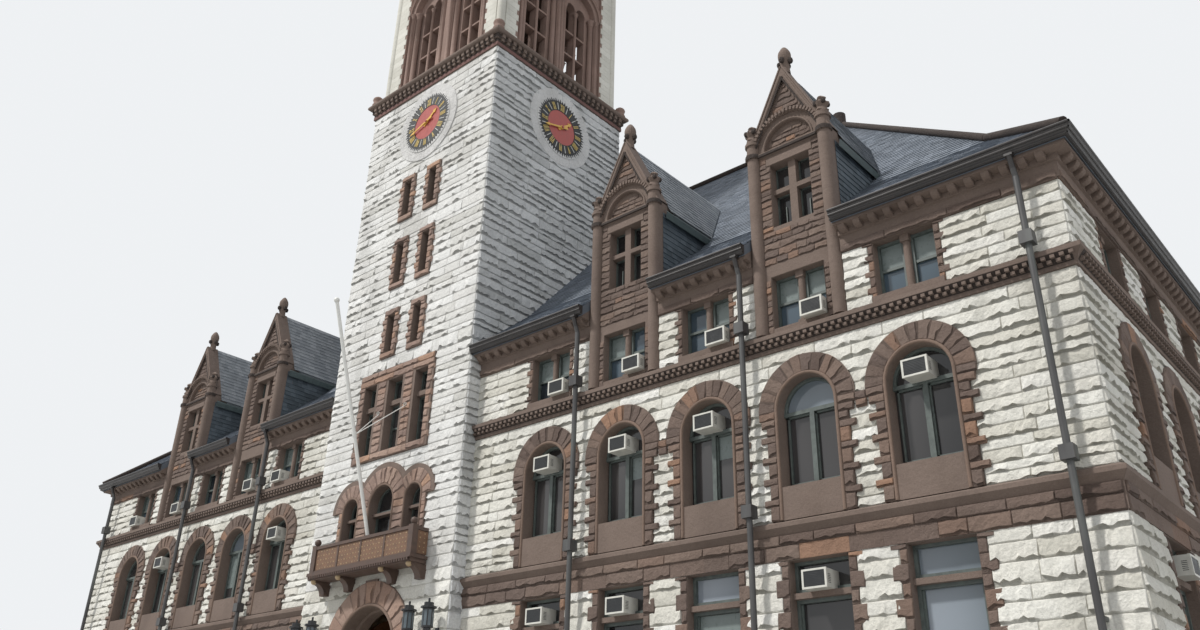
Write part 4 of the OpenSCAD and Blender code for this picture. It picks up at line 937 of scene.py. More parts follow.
# Slates
def slate_rows(shape, place, left, right, length, course, width, holes=()):
    """Slates in staggered rows. place(a, b, h) is a point a along, b up the slope and h off it.

    A hole is a stretch of the slope, up to its own height, that has no slates.
    """
    rows = max(1, round(length / course))
    for i in range(rows):
        b0, b1 = i * length / rows, (i + 1) * length / rows
        limits = [left]
        for a, b in sorted((a, b) for a, b, top in holes if b0 < top):
            limits += [lambda _, x=a: x, lambda _, x=b: x]
        limits.append(right)
        for lo, hi in zip(limits[::2], limits[1::2]):
            first, last = min(lo(b0), lo(b1)), max(hi(b0), hi(b1))
            if last - first < 0.02:
                continue
            count = int((last - first) / width) + 2
            joints = first - rng.uniform(0, 1) * width + np.arange(count + 1) * width
            joints[1:-1] += rng.uniform(-0.12, 0.12, count - 1) * width
            a0, a1 = joints[:-1] + 0.0012, joints[1:] - 0.0012
            ends = [np.clip(a, lo(b), hi(b)) for a, b in ((a0, b0), (a1, b0), (a1, b1), (a0, b1))]
            keep = np.maximum(ends[1] - ends[0], ends[2] - ends[3]) > 0.004
            lift = rng.uniform(0.009, 0.014, count)
            top = b1 + min(0.01, length - b1)
            for j in np.nonzero(keep)[0]:
                foot0, foot1, head1, head0 = (end[j] for end in ends)
                points = [place(foot0, b0, lift[j]), place(foot1, b0, lift[j]), place(head1, top, 0.002),
                          place(head0, top, 0.002), place(foot0, b0, 0.0), place(foot1, b0, 0.0)]
                shape.add(points, [(0, 1, 2, 3), (4, 5, 1, 0)], rng.uniform(0, 1))


def slope_place(origin, along, up):
    up = up / np.linalg.norm(up)
    normal = np.cross(along, up)

    def place(a, b, h):
        return origin + a * along + b * up + h * normal
    return place


def tapering(shape, origin, wall, run, rise, half, length, scale, width, holes=()):
    """Slates on a slope that runs back and up from a wall and narrows by scale on both sides."""
    place = slope_place(origin, wall.along, -wall.out * run + [0, 0, rise])
    slate_rows(shape, place, lambda b: b * scale - half, lambda b: half - b * scale, length, 0.1, width,
               holes)


def side_slates(shape, wall, s, origin, up, front, back, length, course, width):
    """Slates on a dormer's slope or cheek, on the side s, that runs back from a wall's face."""
    ends = (lambda b: s * front), (lambda b: s * back(b))
    slate_rows(shape, slope_place(origin, -s * wall.out, up), *ends[::s], length, course, width)


DORMER_RIDGE = high("dormer_roofs", Z)
DORMER_BACK = FOOT_RUN + (DORMER_RIDGE - DORMER_HALF * DORMER_SLOPE - 0.13 - FOOT_TOP) / MAIN_SLOPE
SIDE_TOP = DORMER_RIDGE - DORMER_EAVE * DORMER_SLOPE
for name, wall, half, dormers, inner in MAIN_ROOFS:
    roof = Shape(f"slates_{name}", "slate")
    for v, z, run, slope, behind, behind_tower in (
            (EAVE_OUT, EAVE_Z, FOOT_RUN, FOOT_SLOPE, EVERYWHERE, EVERYWHERE),
            (EAVE_OUT - FOOT_RUN, FOOT_TOP, MAIN_RUN, MAIN_SLOPE, DORMER_BACK - FOOT_RUN,
             TOWER_BACK + EAVE_OUT - FOOT_RUN)):
        length = run * math.hypot(1, slope)
        scale = run / length
        holes = [(u - DORMER_HALF, u + DORMER_HALF, behind / scale) for u in dormers]
        if inner:
            holes.append((-inner, inner, behind_tower / scale))
        tapering(roof, wall.place(0, v, z), wall, run, run * slope, half + v - EAVE_OUT, length, scale,
                 0.14, holes)

dormer_slates = Shape("dormer_slates", "painted_light_dormer_slate")
STEEP = math.hypot(1, DORMER_SLOPE)
for wall, u in DORMER_SPOTS:
    for s in SIDES:
        up = wall.along * (-s * DORMER_EAVE) + [0, 0, DORMER_EAVE * DORMER_SLOPE]
        side_slates(dormer_slates, wall, s, wall.place(u + s * DORMER_EAVE, 0, SIDE_TOP + 0.033), up, 0.2,
                    lambda b: roof_run(SIDE_TOP + b * DORMER_SLOPE / STEEP), DORMER_EAVE * STEEP, 0.1, 0.13)

# Air conditioners: a frame and a grille on each CAD case
LIGHT3_U = (2 * WIN3.half + 0.11) / 4
AC_SPOTS = [(FRONT, BAYS[i], TRANSOM[1]) for i in (0, 1, 3)]
AC_SPOTS += [(FRONT, u, WIN2.head - 0.02) for u in (BAYS[0], BAYS[1], BAYS[2], BAYS[4], -BAYS[0], -BAYS[3])]
AC_SPOTS += [(FRONT, u + s * LIGHT3_U, WIN3.sill) for u, s in (
    (BAYS[0], 1), (BAYS[1], 1), (BAYS[2], 1), (BAYS[3], 1), (-BAYS[0], -1), (-BAYS[1], 1), (-BAYS[3], 1),
    (-BAYS[4], -1))]
AC_SPOTS.append((RIGHT, SIDE_BAYS[0], TRANSOM[1]))
ac_case = Shape("air_conditioner_bezels", "cream_sheet")
ac_grille = Shape("air_conditioner_grilles", "black_enamel")
CASE_HALF, GRILLE_HALF, GRILLE_Z = 0.154, 0.13, (0.018, 0.188)
for wall, u, z in AC_SPOTS:
    for u0, u1, z0, z1 in ((-CASE_HALF, CASE_HALF, -0.004, GRILLE_Z[0]),
                           (-CASE_HALF, CASE_HALF, GRILLE_Z[1], 0.209),
                           (-CASE_HALF, -GRILLE_HALF, *GRILLE_Z), (GRILLE_HALF, CASE_HALF, *GRILLE_Z)):
        ac_case.box(wall, (u + u0, u + u1), (0.1, 0.127), (z + z0, z + z1), 0.5, True)
    grille = (u - GRILLE_HALF, u + GRILLE_HALF)
    ac_grille.box(wall, grille, (0.119, 0.1215), (z + GRILLE_Z[0], z + GRILLE_Z[1]))
    for i in range(9):
        foot = z + 0.03 + i * 0.018
        ac_grille.box(wall, grille, (0.1215, 0.1245), (foot, foot + 0.006))
    for s in SIDES:
        side = sorted((u + s * 0.1495, u + s * 0.1515))
        for i in range(6):
            foot = z + 0.05 + i * 0.018
            ac_grille.box(wall, side, (0.03, 0.085), (foot, foot + 0.006), 0.5, True)

# Dormers
CAP = [(0.9, 0), (1.3, 0.3), (1.0, 0.6), (0.85, 1.0), (1.25, 1.6), (1.45, 2.0), (0.95, 2.4), (0.7, 2.9),
       (0.95, 3.3), (0.6, 3.7), (0.25, 4.0), (0.02, 4.2)]
BUD = [(0.074, 0), (0.066, 0.08), (0.063, 0.15), (0.068, 0.2), (0.088, 0.26), (0.094, 0.3), (0.094, 0.34),
       (0.086, 0.38), (0.06, 0.43), (0.035, 0.465), (0.003, 0.49)]
BUD_LEAF = [(0.003, 0), (0.03, 0.015), (0.042, 0.05), (0.034, 0.085), (0.003, 0.1)]
CAP_LEAF = [(0.003, 0), (0.028, 0.012), (0.036, 0.04), (0.028, 0.07), (0.003, 0.08)]
SHAFT_BAND = [(0.1125, 0), (0.115, 0.02), (0.115, 0.045), (0.1125, 0.063)]
ACROSS = np.array([DORMER_SLOPE, 1]) / STEEP
BETWEEN_SHAFTS, FINIAL_V = 0.462, -0.0875
GABLE_FOOT, PANEL_Z, PANEL_COURSE = 8.925, 8.93, 0.072
GABLE_LIGHTS = ((7.7, 8.23), (8.3, 8.675))


def leaves(shape, wall, u, v, z, r, start, leaf):
    """Four leaves round an upright axis."""
    for i in range(4):
        a = (i + start) * math.pi / 2
        lathe(shape, wall.place(u + r * math.cos(a), v + r * math.sin(a), z), leaf, 8)


def raking(shape, wall, u, s, foot, top, off, v):
    """Sweeps a section, of distances off the gable's slope and v, from the slope's foot to its top."""
    shape.sweep([wall.place(u + s * (x + ACROSS[0] * off), v, z + ACROSS[1] * off) for x, z in (foot, top)])


def dormer_front(kit, wall, u):
    """The gable's rock-faced stones, its arched panel, finial and bands."""
    foot, head = GABLE_LIGHTS[0][0], GABLE_LIGHTS[1][1]
    gaps = [rect_gap(u, *WIN3), rect_gap(u, BETWEEN_SHAFTS, WIN3.head, LINTEL3[1] + 0.025),
            rect_gap(u, 0.3, foot, head), rect_gap(u, 0.35, head, head + 0.115)]
    joints = courses(STRING2[1], head + 0.165, [0.1, 0.085, 0.115])
    ashlar(kit.rough, wall, u - BETWEEN_SHAFTS, u + BETWEEN_SHAFTS, joints, gaps, (0.16, 0.34), 0.016)
    gaps = [slope_gap(u, 0.5, PANEL_Z, GABLE_TIP - 0.2, s) for s in SIDES] + [disc_gap(u, GABLE_Z, 0.565)]
    joints = courses(GABLE_FOOT, GABLE_TIP - 0.27, [0.085, 0.1])
    ashlar(kit.rough, wall, u - 0.5, u + 0.5, joints, gaps, (0.14, 0.3), 0.014)
    for z0 in np.arange(GABLE_FOOT, PANEL_Z + 0.32, PANEL_COURSE):
        z1 = z0 + PANEL_COURSE
        chord = math.sqrt(max(0.36 ** 2 - (z1 - PANEL_Z + 0.01) ** 2, 0))
        if chord > 0.05:
            ashlar(kit.rough, wall, u - chord, u + chord, [z0, z1], (), (0.14, 0.3), 0.014, -0.06)
    trace(kit.plain, wall, u, arch_path(0.368, GABLE_FOOT, PANEL_Z), roll_profile(-0.004, 0.0, 0.016), 0.6)
    for angle in middles(0, math.pi, 29):
        tooth = polar((u, GABLE_Z), (0.505, 0.556), (angle - 0.03, angle + 0.03))
        flat_stone(kit.plain, wall, tooth, (0.038, 0.07), 0.4, 1)
    lathe(kit.plain, wall.place(u, FINIAL_V, GABLE_TIP - 0.06), BUD, 16)
    # The finial's leaves are near-black, painted shade. The strip under the gable's foot is near-black too.
    leaves(kit.dark, wall, u, FINIAL_V, GABLE_TIP + 0.095, 0.088, 0, BUD_LEAF)
    kit.dark.box(wall, (u - 0.46, u + 0.46), (0.02, 0.05), (GABLE_FOOT - 0.077, GABLE_FOOT - 0.041))
    kit.plain.box(wall, (u - 0.35, u + 0.35), (-0.02, 0.012), (head + 0.005, head + 0.11), 0.55)


def dormer_side(kit, wall, u, s):
    """What stands on one side of a dormer's middle: its shaft, the gable's slope, a light and the eave."""
    inner = DORMER_HALF - 0.085
    # The inner roll along the gable's slope is near-black, painted shade.
    for offset, r, shape in ((-0.012, 0.014, kit.dark), (0.03, 0.02, kit.plain)):
        raking(shape, wall, u, s, (inner, GABLE_Z), (0.0, GABLE_Z + inner * DORMER_SLOPE),
               offset + r * np.cos(EIGHTHS), 0.04 + r * np.sin(EIGHTHS))
    raking(kit.plain, wall, u, s, (DORMER_HALF, GABLE_Z), (0.0, GABLE_TIP),
           np.array([0.004, 0.022, 0.022, 0.004]), np.array([0.05, 0.05, -0.2, -0.2]))
    shaft = u + s * DORMER_SHAFT
    cap = [(r * 0.07, h * 0.07) for r, h in CAP]
    lathe(kit.plain, wall.place(shaft, 0, GABLE_Z + 0.25), cap, 16, 0.5, 4, 0.16)
    # The cap's leaves are near-black, painted shade; the shaft's band is near-black too.
    leaves(kit.dark, wall, shaft, 0, GABLE_Z + 0.36, 0.085, 0.5, CAP_LEAF)
    lathe(kit.dark, wall.place(shaft, 0, GABLE_Z - 0.05), SHAFT_BAND, 24)
    for z in np.arange(STRING2[1] + 0.325, GABLE_Z - 0.1, 0.36):
        lathe(kit.plain, wall.place(shaft, 0, z), [(0.0895, -0.004), (0.0905, 0.0), (0.0895, 0.004)], 20, 0.2)
    bar = bars(kit.frames, wall, u, -0.178)
    a, b = sorted((s * 0.055, s * 0.3))
    for z0, z1 in GABLE_LIGHTS:
        light_frame(bar, a, b, z0, z1, 0.018, (0.022, 0.018), (-0.15, -0.15))
    foot = GABLE_LIGHTS[0][0]
    bar(s * 0.18 - 0.007, s * 0.18 + 0.007, foot, foot + 0.35, -0.16)
    v, z = s * np.array([DORMER_EAVE, 0.72, 0.70]), SIDE_TOP + np.array([0.004, -0.03, -0.13])
    kit.lead.sheet([wall.place(u + v, -back, z) for back in (0.09, roof_run(SIDE_TOP))])


kit = SimpleNamespace(rough=Shape("dormer_stones", "brownstone_blocks"),
                      plain=Shape("dormer_mouldings", "brownstone_plain"),
                      dark=Shape("dormer_dark_parts", "dark_brownstone_and_painted_shade"),
                      frames=Shape("dormer_window_frames", "window_frame_paint"),
                      lead=Shape("dormer_flashing", "lead_sheet"))
cheeks = Shape("cheek_slates", "painted_shade_cheek_slate")
CHEEK_Z = EAVE_Z + (CHEEK_FOOT + EAVE_OUT) * FOOT_SLOPE
for wall, u in DORMER_SPOTS:
    dormer_front(kit, wall, u)
    for s in SIDES:
        dormer_side(kit, wall, u, s)
        side_slates(cheeks, wall, s, wall.place(u + s * DORMER_HALF, 0, CHEEK_Z), np.array([0, 0, 1]),
                    CHEEK_FOOT, lambda b: roof_run(CHEEK_Z + b), CHEEK_TOP - CHEEK_Z, 0.085, 0.12)

# The tower's slits, triple window, balcony arches and entrance
kit = SimpleNamespace(rough=Shape("tower_rough_trim", "tower_brownstone"),
                      plain=Shape("tower_rubbed_trim", "brownstone_plain"),
                      light=Shape("tower_arch_rolls", "brownstone_rolls", smooth=True),
                      frames=Shape("tower_window_frames", "window_frame_paint"))


def jamb(u, z0, z1, heights, bulge):
    """Dressed stones of one width up a jamb in the tower's front."""
    for z in pairwise(courses(z0, z1, heights)):
        dressed_rect(kit.rough, TOWER_F, sorted(u), z, FACE, bulge)


for u, z0, z1 in SLITS:
    for s in SIDES:
        quoins(kit.rough, TOWER_F, u + s * SLIT_HALF, s, z0, z1, (0.085, 0.135), (0.12, 0.105), FACE, 0.018)
    dressed_rect(kit.rough, TOWER_F, (u - 0.185, u + 0.185), (z1, z1 + 0.11), FACE, 0.02)
    dressed_rect(kit.rough, TOWER_F, (u - 0.2, u + 0.2), (z0 - 0.1, z0), FACE, 0.014)
    trace(kit.plain, TOWER_F, u, square_path(SLIT_HALF, z0, z1), reveal(0.003, FACE), 0.4)
    bar, middle = bars(kit.frames, TOWER_F, u), (z0 + z1) / 2
    light_frame(bar, -SLIT_HALF, SLIT_HALF, z0, z1, 0.02, (0.03, 0.03), (-0.112, FRAME_FRONT))
    bar(-SLIT_HALF, SLIT_HALF, middle - 0.015, middle + 0.015)

T_SILL, T_HEAD, T_BAR = 6.1, 7.385, (6.925, 7.01)
T_FOOT, T_LINTELS = 5.98, (7.39, 7.505, 7.612)
T_SIDE, T_SIDE_HALF, T_MID_HALF = 0.692, 0.1675, 0.2
for s in SIDES:
    quoins(kit.rough, TOWER_F, s * (T_SIDE + T_SIDE_HALF), s, T_FOOT, T_LINTELS[0], (0.1, 0.145),
           (0.13, 0.11), FACE, 0.018)
    jamb((s * 0.255, s * 0.4695), T_SILL, T_HEAD, [0.13, 0.11], 0.016)
for half, z, bulge, lengths in ((1.0, T_LINTELS[:2], 0.02, (0.3, 0.5)),
                                (0.99, T_LINTELS[1:], 0.024, (0.35, 0.6)),
                                (0.86, (T_FOOT, T_SILL - 0.005), 0.018, (0.3, 0.5))):
    lintel_course(kit.rough, TOWER_F, -half, half, z, FACE, bulge, lengths)
for u, half in ((-T_SIDE, T_SIDE_HALF), (0.0, T_MID_HALF), (T_SIDE, T_SIDE_HALF)):
    trace(kit.plain, TOWER_F, u, square_path(half, T_SILL, T_HEAD), reveal(0.003, FACE, (0.05, FACE)), 0.4)
    bar = bars(kit.frames, TOWER_F, u)
    for z0, z1 in ((T_SILL, T_BAR[0]), (T_BAR[1], T_HEAD)):
        light_frame(bar, -half, half, z0, z1, 0.028, (0.035, 0.03), (-0.112, FRAME_FRONT))
    bar(0.028 - half, half - 0.028, T_SILL + 0.4, T_SILL + 0.43, -0.13)

# Each: middle, half width, the arch stones' outer radius, number and front, the jamb stones' width by side
for u, half, stones, count, front, jambs in ((0.0, 0.3, 0.6, 11, FACE + 0.012, {-1: 0.28, 1: 0.28}),
                                             (-ARCH_SIDE, 0.1925, 0.44, 9, FACE, {-1: 0.09}),
                                             (ARCH_SIDE, 0.1925, 0.44, 9, FACE, {1: 0.09})):
    path = arch_path(half, ARCH_FOOT, ARCH_SPRING)
    trace(kit.plain, TOWER_F, u, path, reveal(0.003, TRIM_OUT), 0.4)
    trace(kit.light, TOWER_F, u, path, roll_profile(-0.003, TRIM_OUT, 0.02))
    voussoirs(kit.rough, TOWER_F, (u, ARCH_SPRING + 0.002), (half + 0.036, stones), count, front, 0.02)
    bars(kit.frames, TOWER_F, u)(-half, half, ARCH_SPRING - 0.125, ARCH_SPRING - 0.08)
    trace(kit.frames, TOWER_F, u, path, reveal(0.03, -0.12, (0.0, -0.12)))
    for s, width in jambs.items():
        edge = u + s * (half + 0.036)
        jamb((edge, edge + s * width), ARCH_FOOT, IMPOST[1], [0.12, 0.1, 0.14], 0.014)
for s in SIDES:
    lintel_course(kit.rough, TOWER_F, *sorted((s * 1.035, s * 1.13)), IMPOST, FACE, 0.014)

DOOR_FOOT, DOOR_EDGE = 1.18, 0.745
door_path = arch_path(DOOR_HALF, DOOR_FOOT, DOOR_SPRING)
voussoirs(kit.rough, TOWER_F, (0, DOOR_SPRING + 0.002), (DOOR_EDGE, DOOR_RING), 15, FACE, 0.03)
trace(kit.light, TOWER_F, 0, door_path, roll_profile(-0.004, TRIM_OUT, 0.024))
trace(kit.plain, TOWER_F, 0, door_path, [(-0.004, -0.39), (-0.004, TRIM_OUT)], 0.4)
trace(kit.plain, TOWER_F, 0, arch_path(0.66, DOOR_FOOT, DOOR_SPRING),
      [(0.0, -0.36), (0.0, -0.2), (0.02, -0.18), (0.04, -0.18)])
for s in SIDES:
    quoins(kit.rough, TOWER_F, s * DOOR_EDGE, s, DOOR_FOOT, DOOR_SPRING, (0.16, 0.25), (0.21, 0.2), FACE,
           0.022)

# Tower cornice: a rubbed band, corbels in a near-black hollow of painted shade, and a big roll
cornice = Shape("tower_cornice_blocks", "brownstone_plain")
hollow = Shape("tower_cornice_hollow", "dark_brownstone_and_painted_shade")
band = Shape("tower_cornice_band", "rubbed_red_band")
BAND_SECTION = np.array([(0.03, 0.001), (0.036, 0.007), (0.036, 0.075), (0.03, 0.081)])
HOLLOW_SECTION = np.array([(0.032, 0.075), (0.032, 0.152), (0.067, 0.152), (0.067, 0.253)])


def mitred(shape, wall, half, v, z):
    """Sweeps a section over a wall of the tower, from corner to corner. z is from the shaft's top."""
    shape.sheet([wall.place(s * (half + v), v, SHAFT_TOP + z) for s in (1, -1)])


for wall, half, _ in TOWER:
    mitred(band, wall, half, *BAND_SECTION.T)
    mitred(hollow, wall, half, *HOLLOW_SECTION.T)
    neck = SHAFT_TOP + 0.17
    for u in middles(-half, half, round(2 * half / CORBEL_STEP)):
        cornice.box(wall, (u - 0.036, u + 0.036), (0.03, 0.104), (neck, neck + 0.081), 0.35)
        cornice.box(wall, (u - 0.03, u + 0.03), (0.03, 0.08), (neck - 0.07, neck), 0.35)
    angles = np.linspace(-math.pi / 2, math.pi / 2, 9)
    mitred(cornice, wall, half, 0.098 + 0.05 * np.cos(angles), 0.307 + 0.056 * np.sin(angles))


def rod(shape, a, b, r, n=8):
    """A round bar between two points."""
    a, b = np.array(a, float), np.array(b, float)
    axis = (b - a) / np.linalg.norm(b - a)
    x = np.cross(axis, (0, 0, 1) if abs(axis[2]) < 0.9 else (1, 0, 0))
    x /= np.linalg.norm(x)
    y = np.cross(axis, x)
    angles = -np.arange(n) * TURN / n
    circle = r * (np.cos(angles)[:, None] * x + np.sin(angles)[:, None] * y)
    shape.sweep([a + circle, b + circle])


# The flagpole's clasp and rods
stays = Shape("flagpole_stays", "white_paint")
POLE_FOOT, LEAN, CLASP_UP = (0, -0.326, 4.17), math.radians(18), 2.1
clasp = np.array(POLE_FOOT) + CLASP_UP * np.array([0, -math.sin(LEAN), math.cos(LEAN)])
for s in SIDES:
    anchor = TOWER_F.place(s * 0.362, 0.03, 6.8)
    rod(stays, anchor, clasp + [0, 0.02, 0], 0.008)
    rod(stays, anchor, anchor - [0, 0.045, 0], 0.03, 10)
rod(stays, clasp - [0, -0.012, 0.038], clasp + [0, -0.012, 0.038], 0.036, 16)

# Clock
NUMERALS = ("XII", "I", "II", "III", "IIII", "V", "VI", "VII", "VIII", "IX", "X", "XI")
chapter, numerals = Shape("dial_chapter_rings", "dial_ring_enamel"), Shape("dial_numerals", "numeral_paint")
surround = Shape("dial_surround_stones", "dial_surround_granite")
rim, pale_bars = Shape("dial_rims", "dial_surround_granite"), Shape("dial_half_hour_bars", "white_paint")
SLAB = [(4, 5, 6, 7), (0, 1, 5, 4), (1, 2, 6, 5), (2, 3, 7, 6), (3, 0, 4, 7)]
CHAPTER_R, NUMERAL_R, RIM_R, SURROUND_R = (0.375, 0.584), (0.39, 0.545), (0.58, 0.66), (0.66, 0.848)


def dial_bar(shape, wall, angle, x0, x1, r0, r1, width):
    """A bar on the dial, from (x0, r0) to (x1, r1): x across and r out along the hour's own direction."""
    x, r = np.array([x0 - width, x0 + width, x1 + width, x1 - width]), np.array([r0, r0, r1, r1])
    sin, cos = math.sin(angle), math.cos(angle)
    shape.add([wall.place(x * cos + r * sin, v, DIAL_Z - x * sin + r * cos) for v in (0.044, 0.05)], SLAB)


def numeral(wall, hour, text):
    widths = [0.029 if letter == "I" else 0.056 for letter in text]
    x = -sum(widths) / 2
    for letter, width in zip(text, widths):
        for lean in (0,) if letter == "I" else (-0.018, 0.018):
            foot, middle = -lean if letter == "X" else 0, x + width / 2
            dial_bar(numerals, wall, hour * TURN / 12, middle + foot, middle + lean, *NUMERAL_R,
                     0.007 if letter == "I" else 0.0065)
        x += width


for wall, _, _ in TOWER:
    ring(chapter, wall, 0, DIAL_Z, CHAPTER_R, (0.0405, 0.0445), 72, TURN)
    ring(rim, wall, 0, DIAL_Z, RIM_R, (0.03, 0.0415), 72, TURN)
    for i in range(60):
        reach = (0.645, 0.628)[i % 2]
        r = np.array([0.575, reach, reach, 0.575])
        a = TURN * i / 60 + np.array([-0.042, -0.008, 0.008, 0.042])
        chapter.add([wall.place(r * np.cos(a), v, DIAL_Z + r * np.sin(a)) for v in (0.04, 0.046)], SLAB[:4])
    for hour, text in enumerate(NUMERALS):
        numeral(wall, hour, text)
        dial_bar(pale_bars, wall, (hour + 0.5) * TURN / 12, 0, 0, 0.4, 0.55, 0.0055)
    for i in range(16):
        outline = polar((0, DIAL_Z), SURROUND_R, (TURN * i / 16 + 0.003, TURN * (i + 1) / 16 - 0.003))
        flat_stone(surround, wall, outline, (0.018, 0.03), rng.uniform(0.3, 1), 4)

# Balcony: panels with bosses, dentils, mouldings, posts and ball pendants
BALCONY_HALF, BALCONY_Z = 1.27, 4.15
panels, trim = Shape("balcony_panels", "orange_timber"), Shape("balcony_trim", "weathered_timber")
bosses = Shape("balcony_bosses", "pale_paint")
for wall, u0, u1, v in ((TOWER_F, 0.11 - BALCONY_HALF, BALCONY_HALF - 0.11, 0.32),
                        (Wall(BALCONY_HALF, TOWER_FRONT, 1), -0.22, -0.05, 0.0),
                        (Wall(-BALCONY_HALF, TOWER_FRONT, 3), 0.05, 0.22, 0.0)):
    panels.box(wall, (u0 - 0.02, u1 + 0.02), (v, v + 0.006), (BALCONY_Z + 0.02, BALCONY_Z + 0.365))
    for i, u in enumerate(middles(u0, u1, max(2, round((u1 - u0) / BOSS_STEP)))):
        for j in range(5):
            z, r = BALCONY_Z + 0.055 + j * 0.068, 0.012 if (i + j) % 2 else 0.007
            bosses.sweep([wall.place(u + q * np.cos(EIGHTHS), v + h, z + q * np.sin(EIGHTHS))
                          for q, h in ((r, 0.006), (r * 0.8, 0.011), (0.001, 0.012))])
for u in middles(-BALCONY_HALF - 0.02, BALCONY_HALF + 0.02, 44):
    trim.box(TOWER_F, (u - 0.016, u + 0.016), (0.37, 0.384), (BALCONY_Z - 0.105, BALCONY_Z - 0.065), 0.3)
for reach, v, z in ((0.05, (0.34, 0.385), (-0.065, -0.05)), (-0.07, (0.28, 0.345), (0.0, 0.025))):
    half = BALCONY_HALF + reach
    trim.box(TOWER_F, (-half, half), v, (BALCONY_Z + z[0], BALCONY_Z + z[1]), 0.5, True)
for u in (-0.6, 0.0, 0.6):
    trim.box(TOWER_F, (u - 0.02, u + 0.02), (0.3, 0.335), (BALCONY_Z, BALCONY_Z + 0.38))
ball = [(max(0.051 * math.sin(a), 0.002), -0.051 * math.cos(a)) for a in np.linspace(0, math.pi, 9)]
for u in (0.055 - BALCONY_HALF, -0.55, 0.55, BALCONY_HALF - 0.055):
    lathe(bosses, TOWER_F.place(u, 0.29, BALCONY_Z - 0.135), ball, 16)

# Lantern panes
panes = Shape("lantern_panes", "lantern_pane")
PANE = [(-0.022, 3.085), (0.022, 3.085), (0.022, 3.3), (-0.022, 3.3)]
PANE_OUT = 0.085 * math.cos(math.pi / 8) + 0.001
LANTERN_U, LANTERN_V = (1.225, 1.67), 0.205
for s in SIDES:
    for u in LANTERN_U:
        centre = TOWER_F.place(s * u, LANTERN_V, 0)
        for a in middles(0, TURN, 8):
            out, side = np.array([math.cos(a), math.sin(a), 0]), np.array([-math.sin(a), math.cos(a), 0])
            panes.add([centre + out * PANE_OUT + side * w + [0, 0, z] for w, z in PANE], [(0, 1, 2, 3)])

# Rolls on the gutters
rolls = Shape("gutter_rolls", "gutter_paint")
for _, wall, half, dormers, inner in MAIN_ROOFS:
    blocked = [(d - DORMER_HALF, d + DORMER_HALF) for d in dormers] + ([(-inner, inner)] if inner else [])
    for drop, out, r in ((0.117, 0.035, 0.014), (0.07, 0.062, 0.016), (0.013, 0.08, 0.018)):
        v, z = EAVE_OUT + out + r * np.cos(EIGHTHS), EAVE_Z - drop + r * np.sin(EIGHTHS)
        for ends in free_spans(-half - out, half + out, blocked):
            rolls.sweep([wall.place(u, v, z) for u in ends])

# Belfry
BELL_HALF, BELL_SIDE = high("belfry_piers", X), high("belfry_piers", Y) - TOWER_MID
BELL_FOOT, BELL_SPRING, BELL_TOP = low("belfry_piers", Z), 16.35, high("belfry_piers", Z)
PIER_W, PIER_IN = 0.41, 0.47
bell_stones = Shape("belfry_pier_stones", "granite_smooth")
bell_rough = Shape("belfry_spandrel_stones", "brownstone_blocks")
bell_plain = Shape("belfry_arch_stones", "belfry_brownstone")
bell_shafts = Shape("belfry_shafts", "belfry_brownstone", smooth=True)
corner_shafts = Shape("belfry_corner_shafts", "granite_smooth")


def pier_stones(wall, half, s):
    """Smooth stones up a corner pier, short and long in turn."""
    z, long = BELL_FOOT + 0.002, False
    while z < BELL_TOP - 0.05:
        top = min(z + (0.15 if long else 0.12), BELL_TOP)
        ends = sorted((s * (half - PIER_W - (0.05 if long else 0.0)), s * (half - 0.13)))
        outline, _ = rect(ends, (z + JOINT, top - JOINT))
        flat_stone(bell_stones, wall, outline, (-0.05, 0.012), rng.uniform(0, 1), 1)
        z, long = top, not long


def belfry_arch(wall, half, s):
    """An arch ring with its rolls, over shafts and a pair of small arched lights."""
    u, height, arcs = s * (half - PIER_W - 0.695), BELL_SPRING - BELL_FOOT, 15
    backing = sorted((s * (half - PIER_IN), s * (half - 0.4)))
    bell_plain.box(wall, backing, (-0.07, 0.0), (BELL_FOOT, BELL_TOP), 0.4, True)
    for i in range(arcs):
        arc = (i * math.pi / arcs + 0.004, (i + 1) * math.pi / arcs - 0.004)
        outline = polar((u, BELL_SPRING), (0.485, 0.588), arc)
        flat_stone(bell_plain, wall, outline, (-0.05, -0.035), rng.uniform(0, 1), 2)
    for r in (0.6, 0.665):
        path = arch_path(r, BELL_SPRING, BELL_SPRING)
        trace(bell_plain, wall, u, path, roll_profile(-0.012, 0.0, 0.014), 0.4)
    for side in SIDES:
        for x, v, r in ((0.42, -0.11, 0.056), (0.535, -0.045, 0.04)):
            colonnette(bell_shafts, wall.place(u + side * x, v, BELL_FOOT + 0.1), height - 0.1, r)
    colonnette(bell_shafts, wall.place(u, -0.165, BELL_FOOT + 0.15), height - 0.2, 0.035)
    for side in SIDES:
        trace(bell_plain, wall, u + side * 0.158, arch_path(0.135, BELL_SPRING, BELL_SPRING, 10),
              roll_profile(-0.004, -0.17, 0.014))


for wall, half, _ in four_walls(BELL_HALF, BELL_SIDE):
    for s in SIDES:
        pier_stones(wall, half, s)
    for s in SIDES:
        belfry_arch(wall, half, s)
    joints = courses(BELL_TOP - 0.44, BELL_TOP, [0.14, 0.12])
    ashlar(bell_rough, wall, PIER_IN - half, half - PIER_IN, joints, (), (0.25, 0.5), 0.014, -0.05)
    angles = np.linspace(-math.pi / 2, math.pi / 2, 7)
    for out, rise in ((0.05, 0.03), (0.1, 0.2), (0.15, 0.37)):
        v, z = out + 0.02 * np.cos(angles), BELL_TOP + rise + 0.03 * np.sin(angles)
        bell_plain.sheet([wall.place(u, v, z) for u in (-half - out, half + out)])

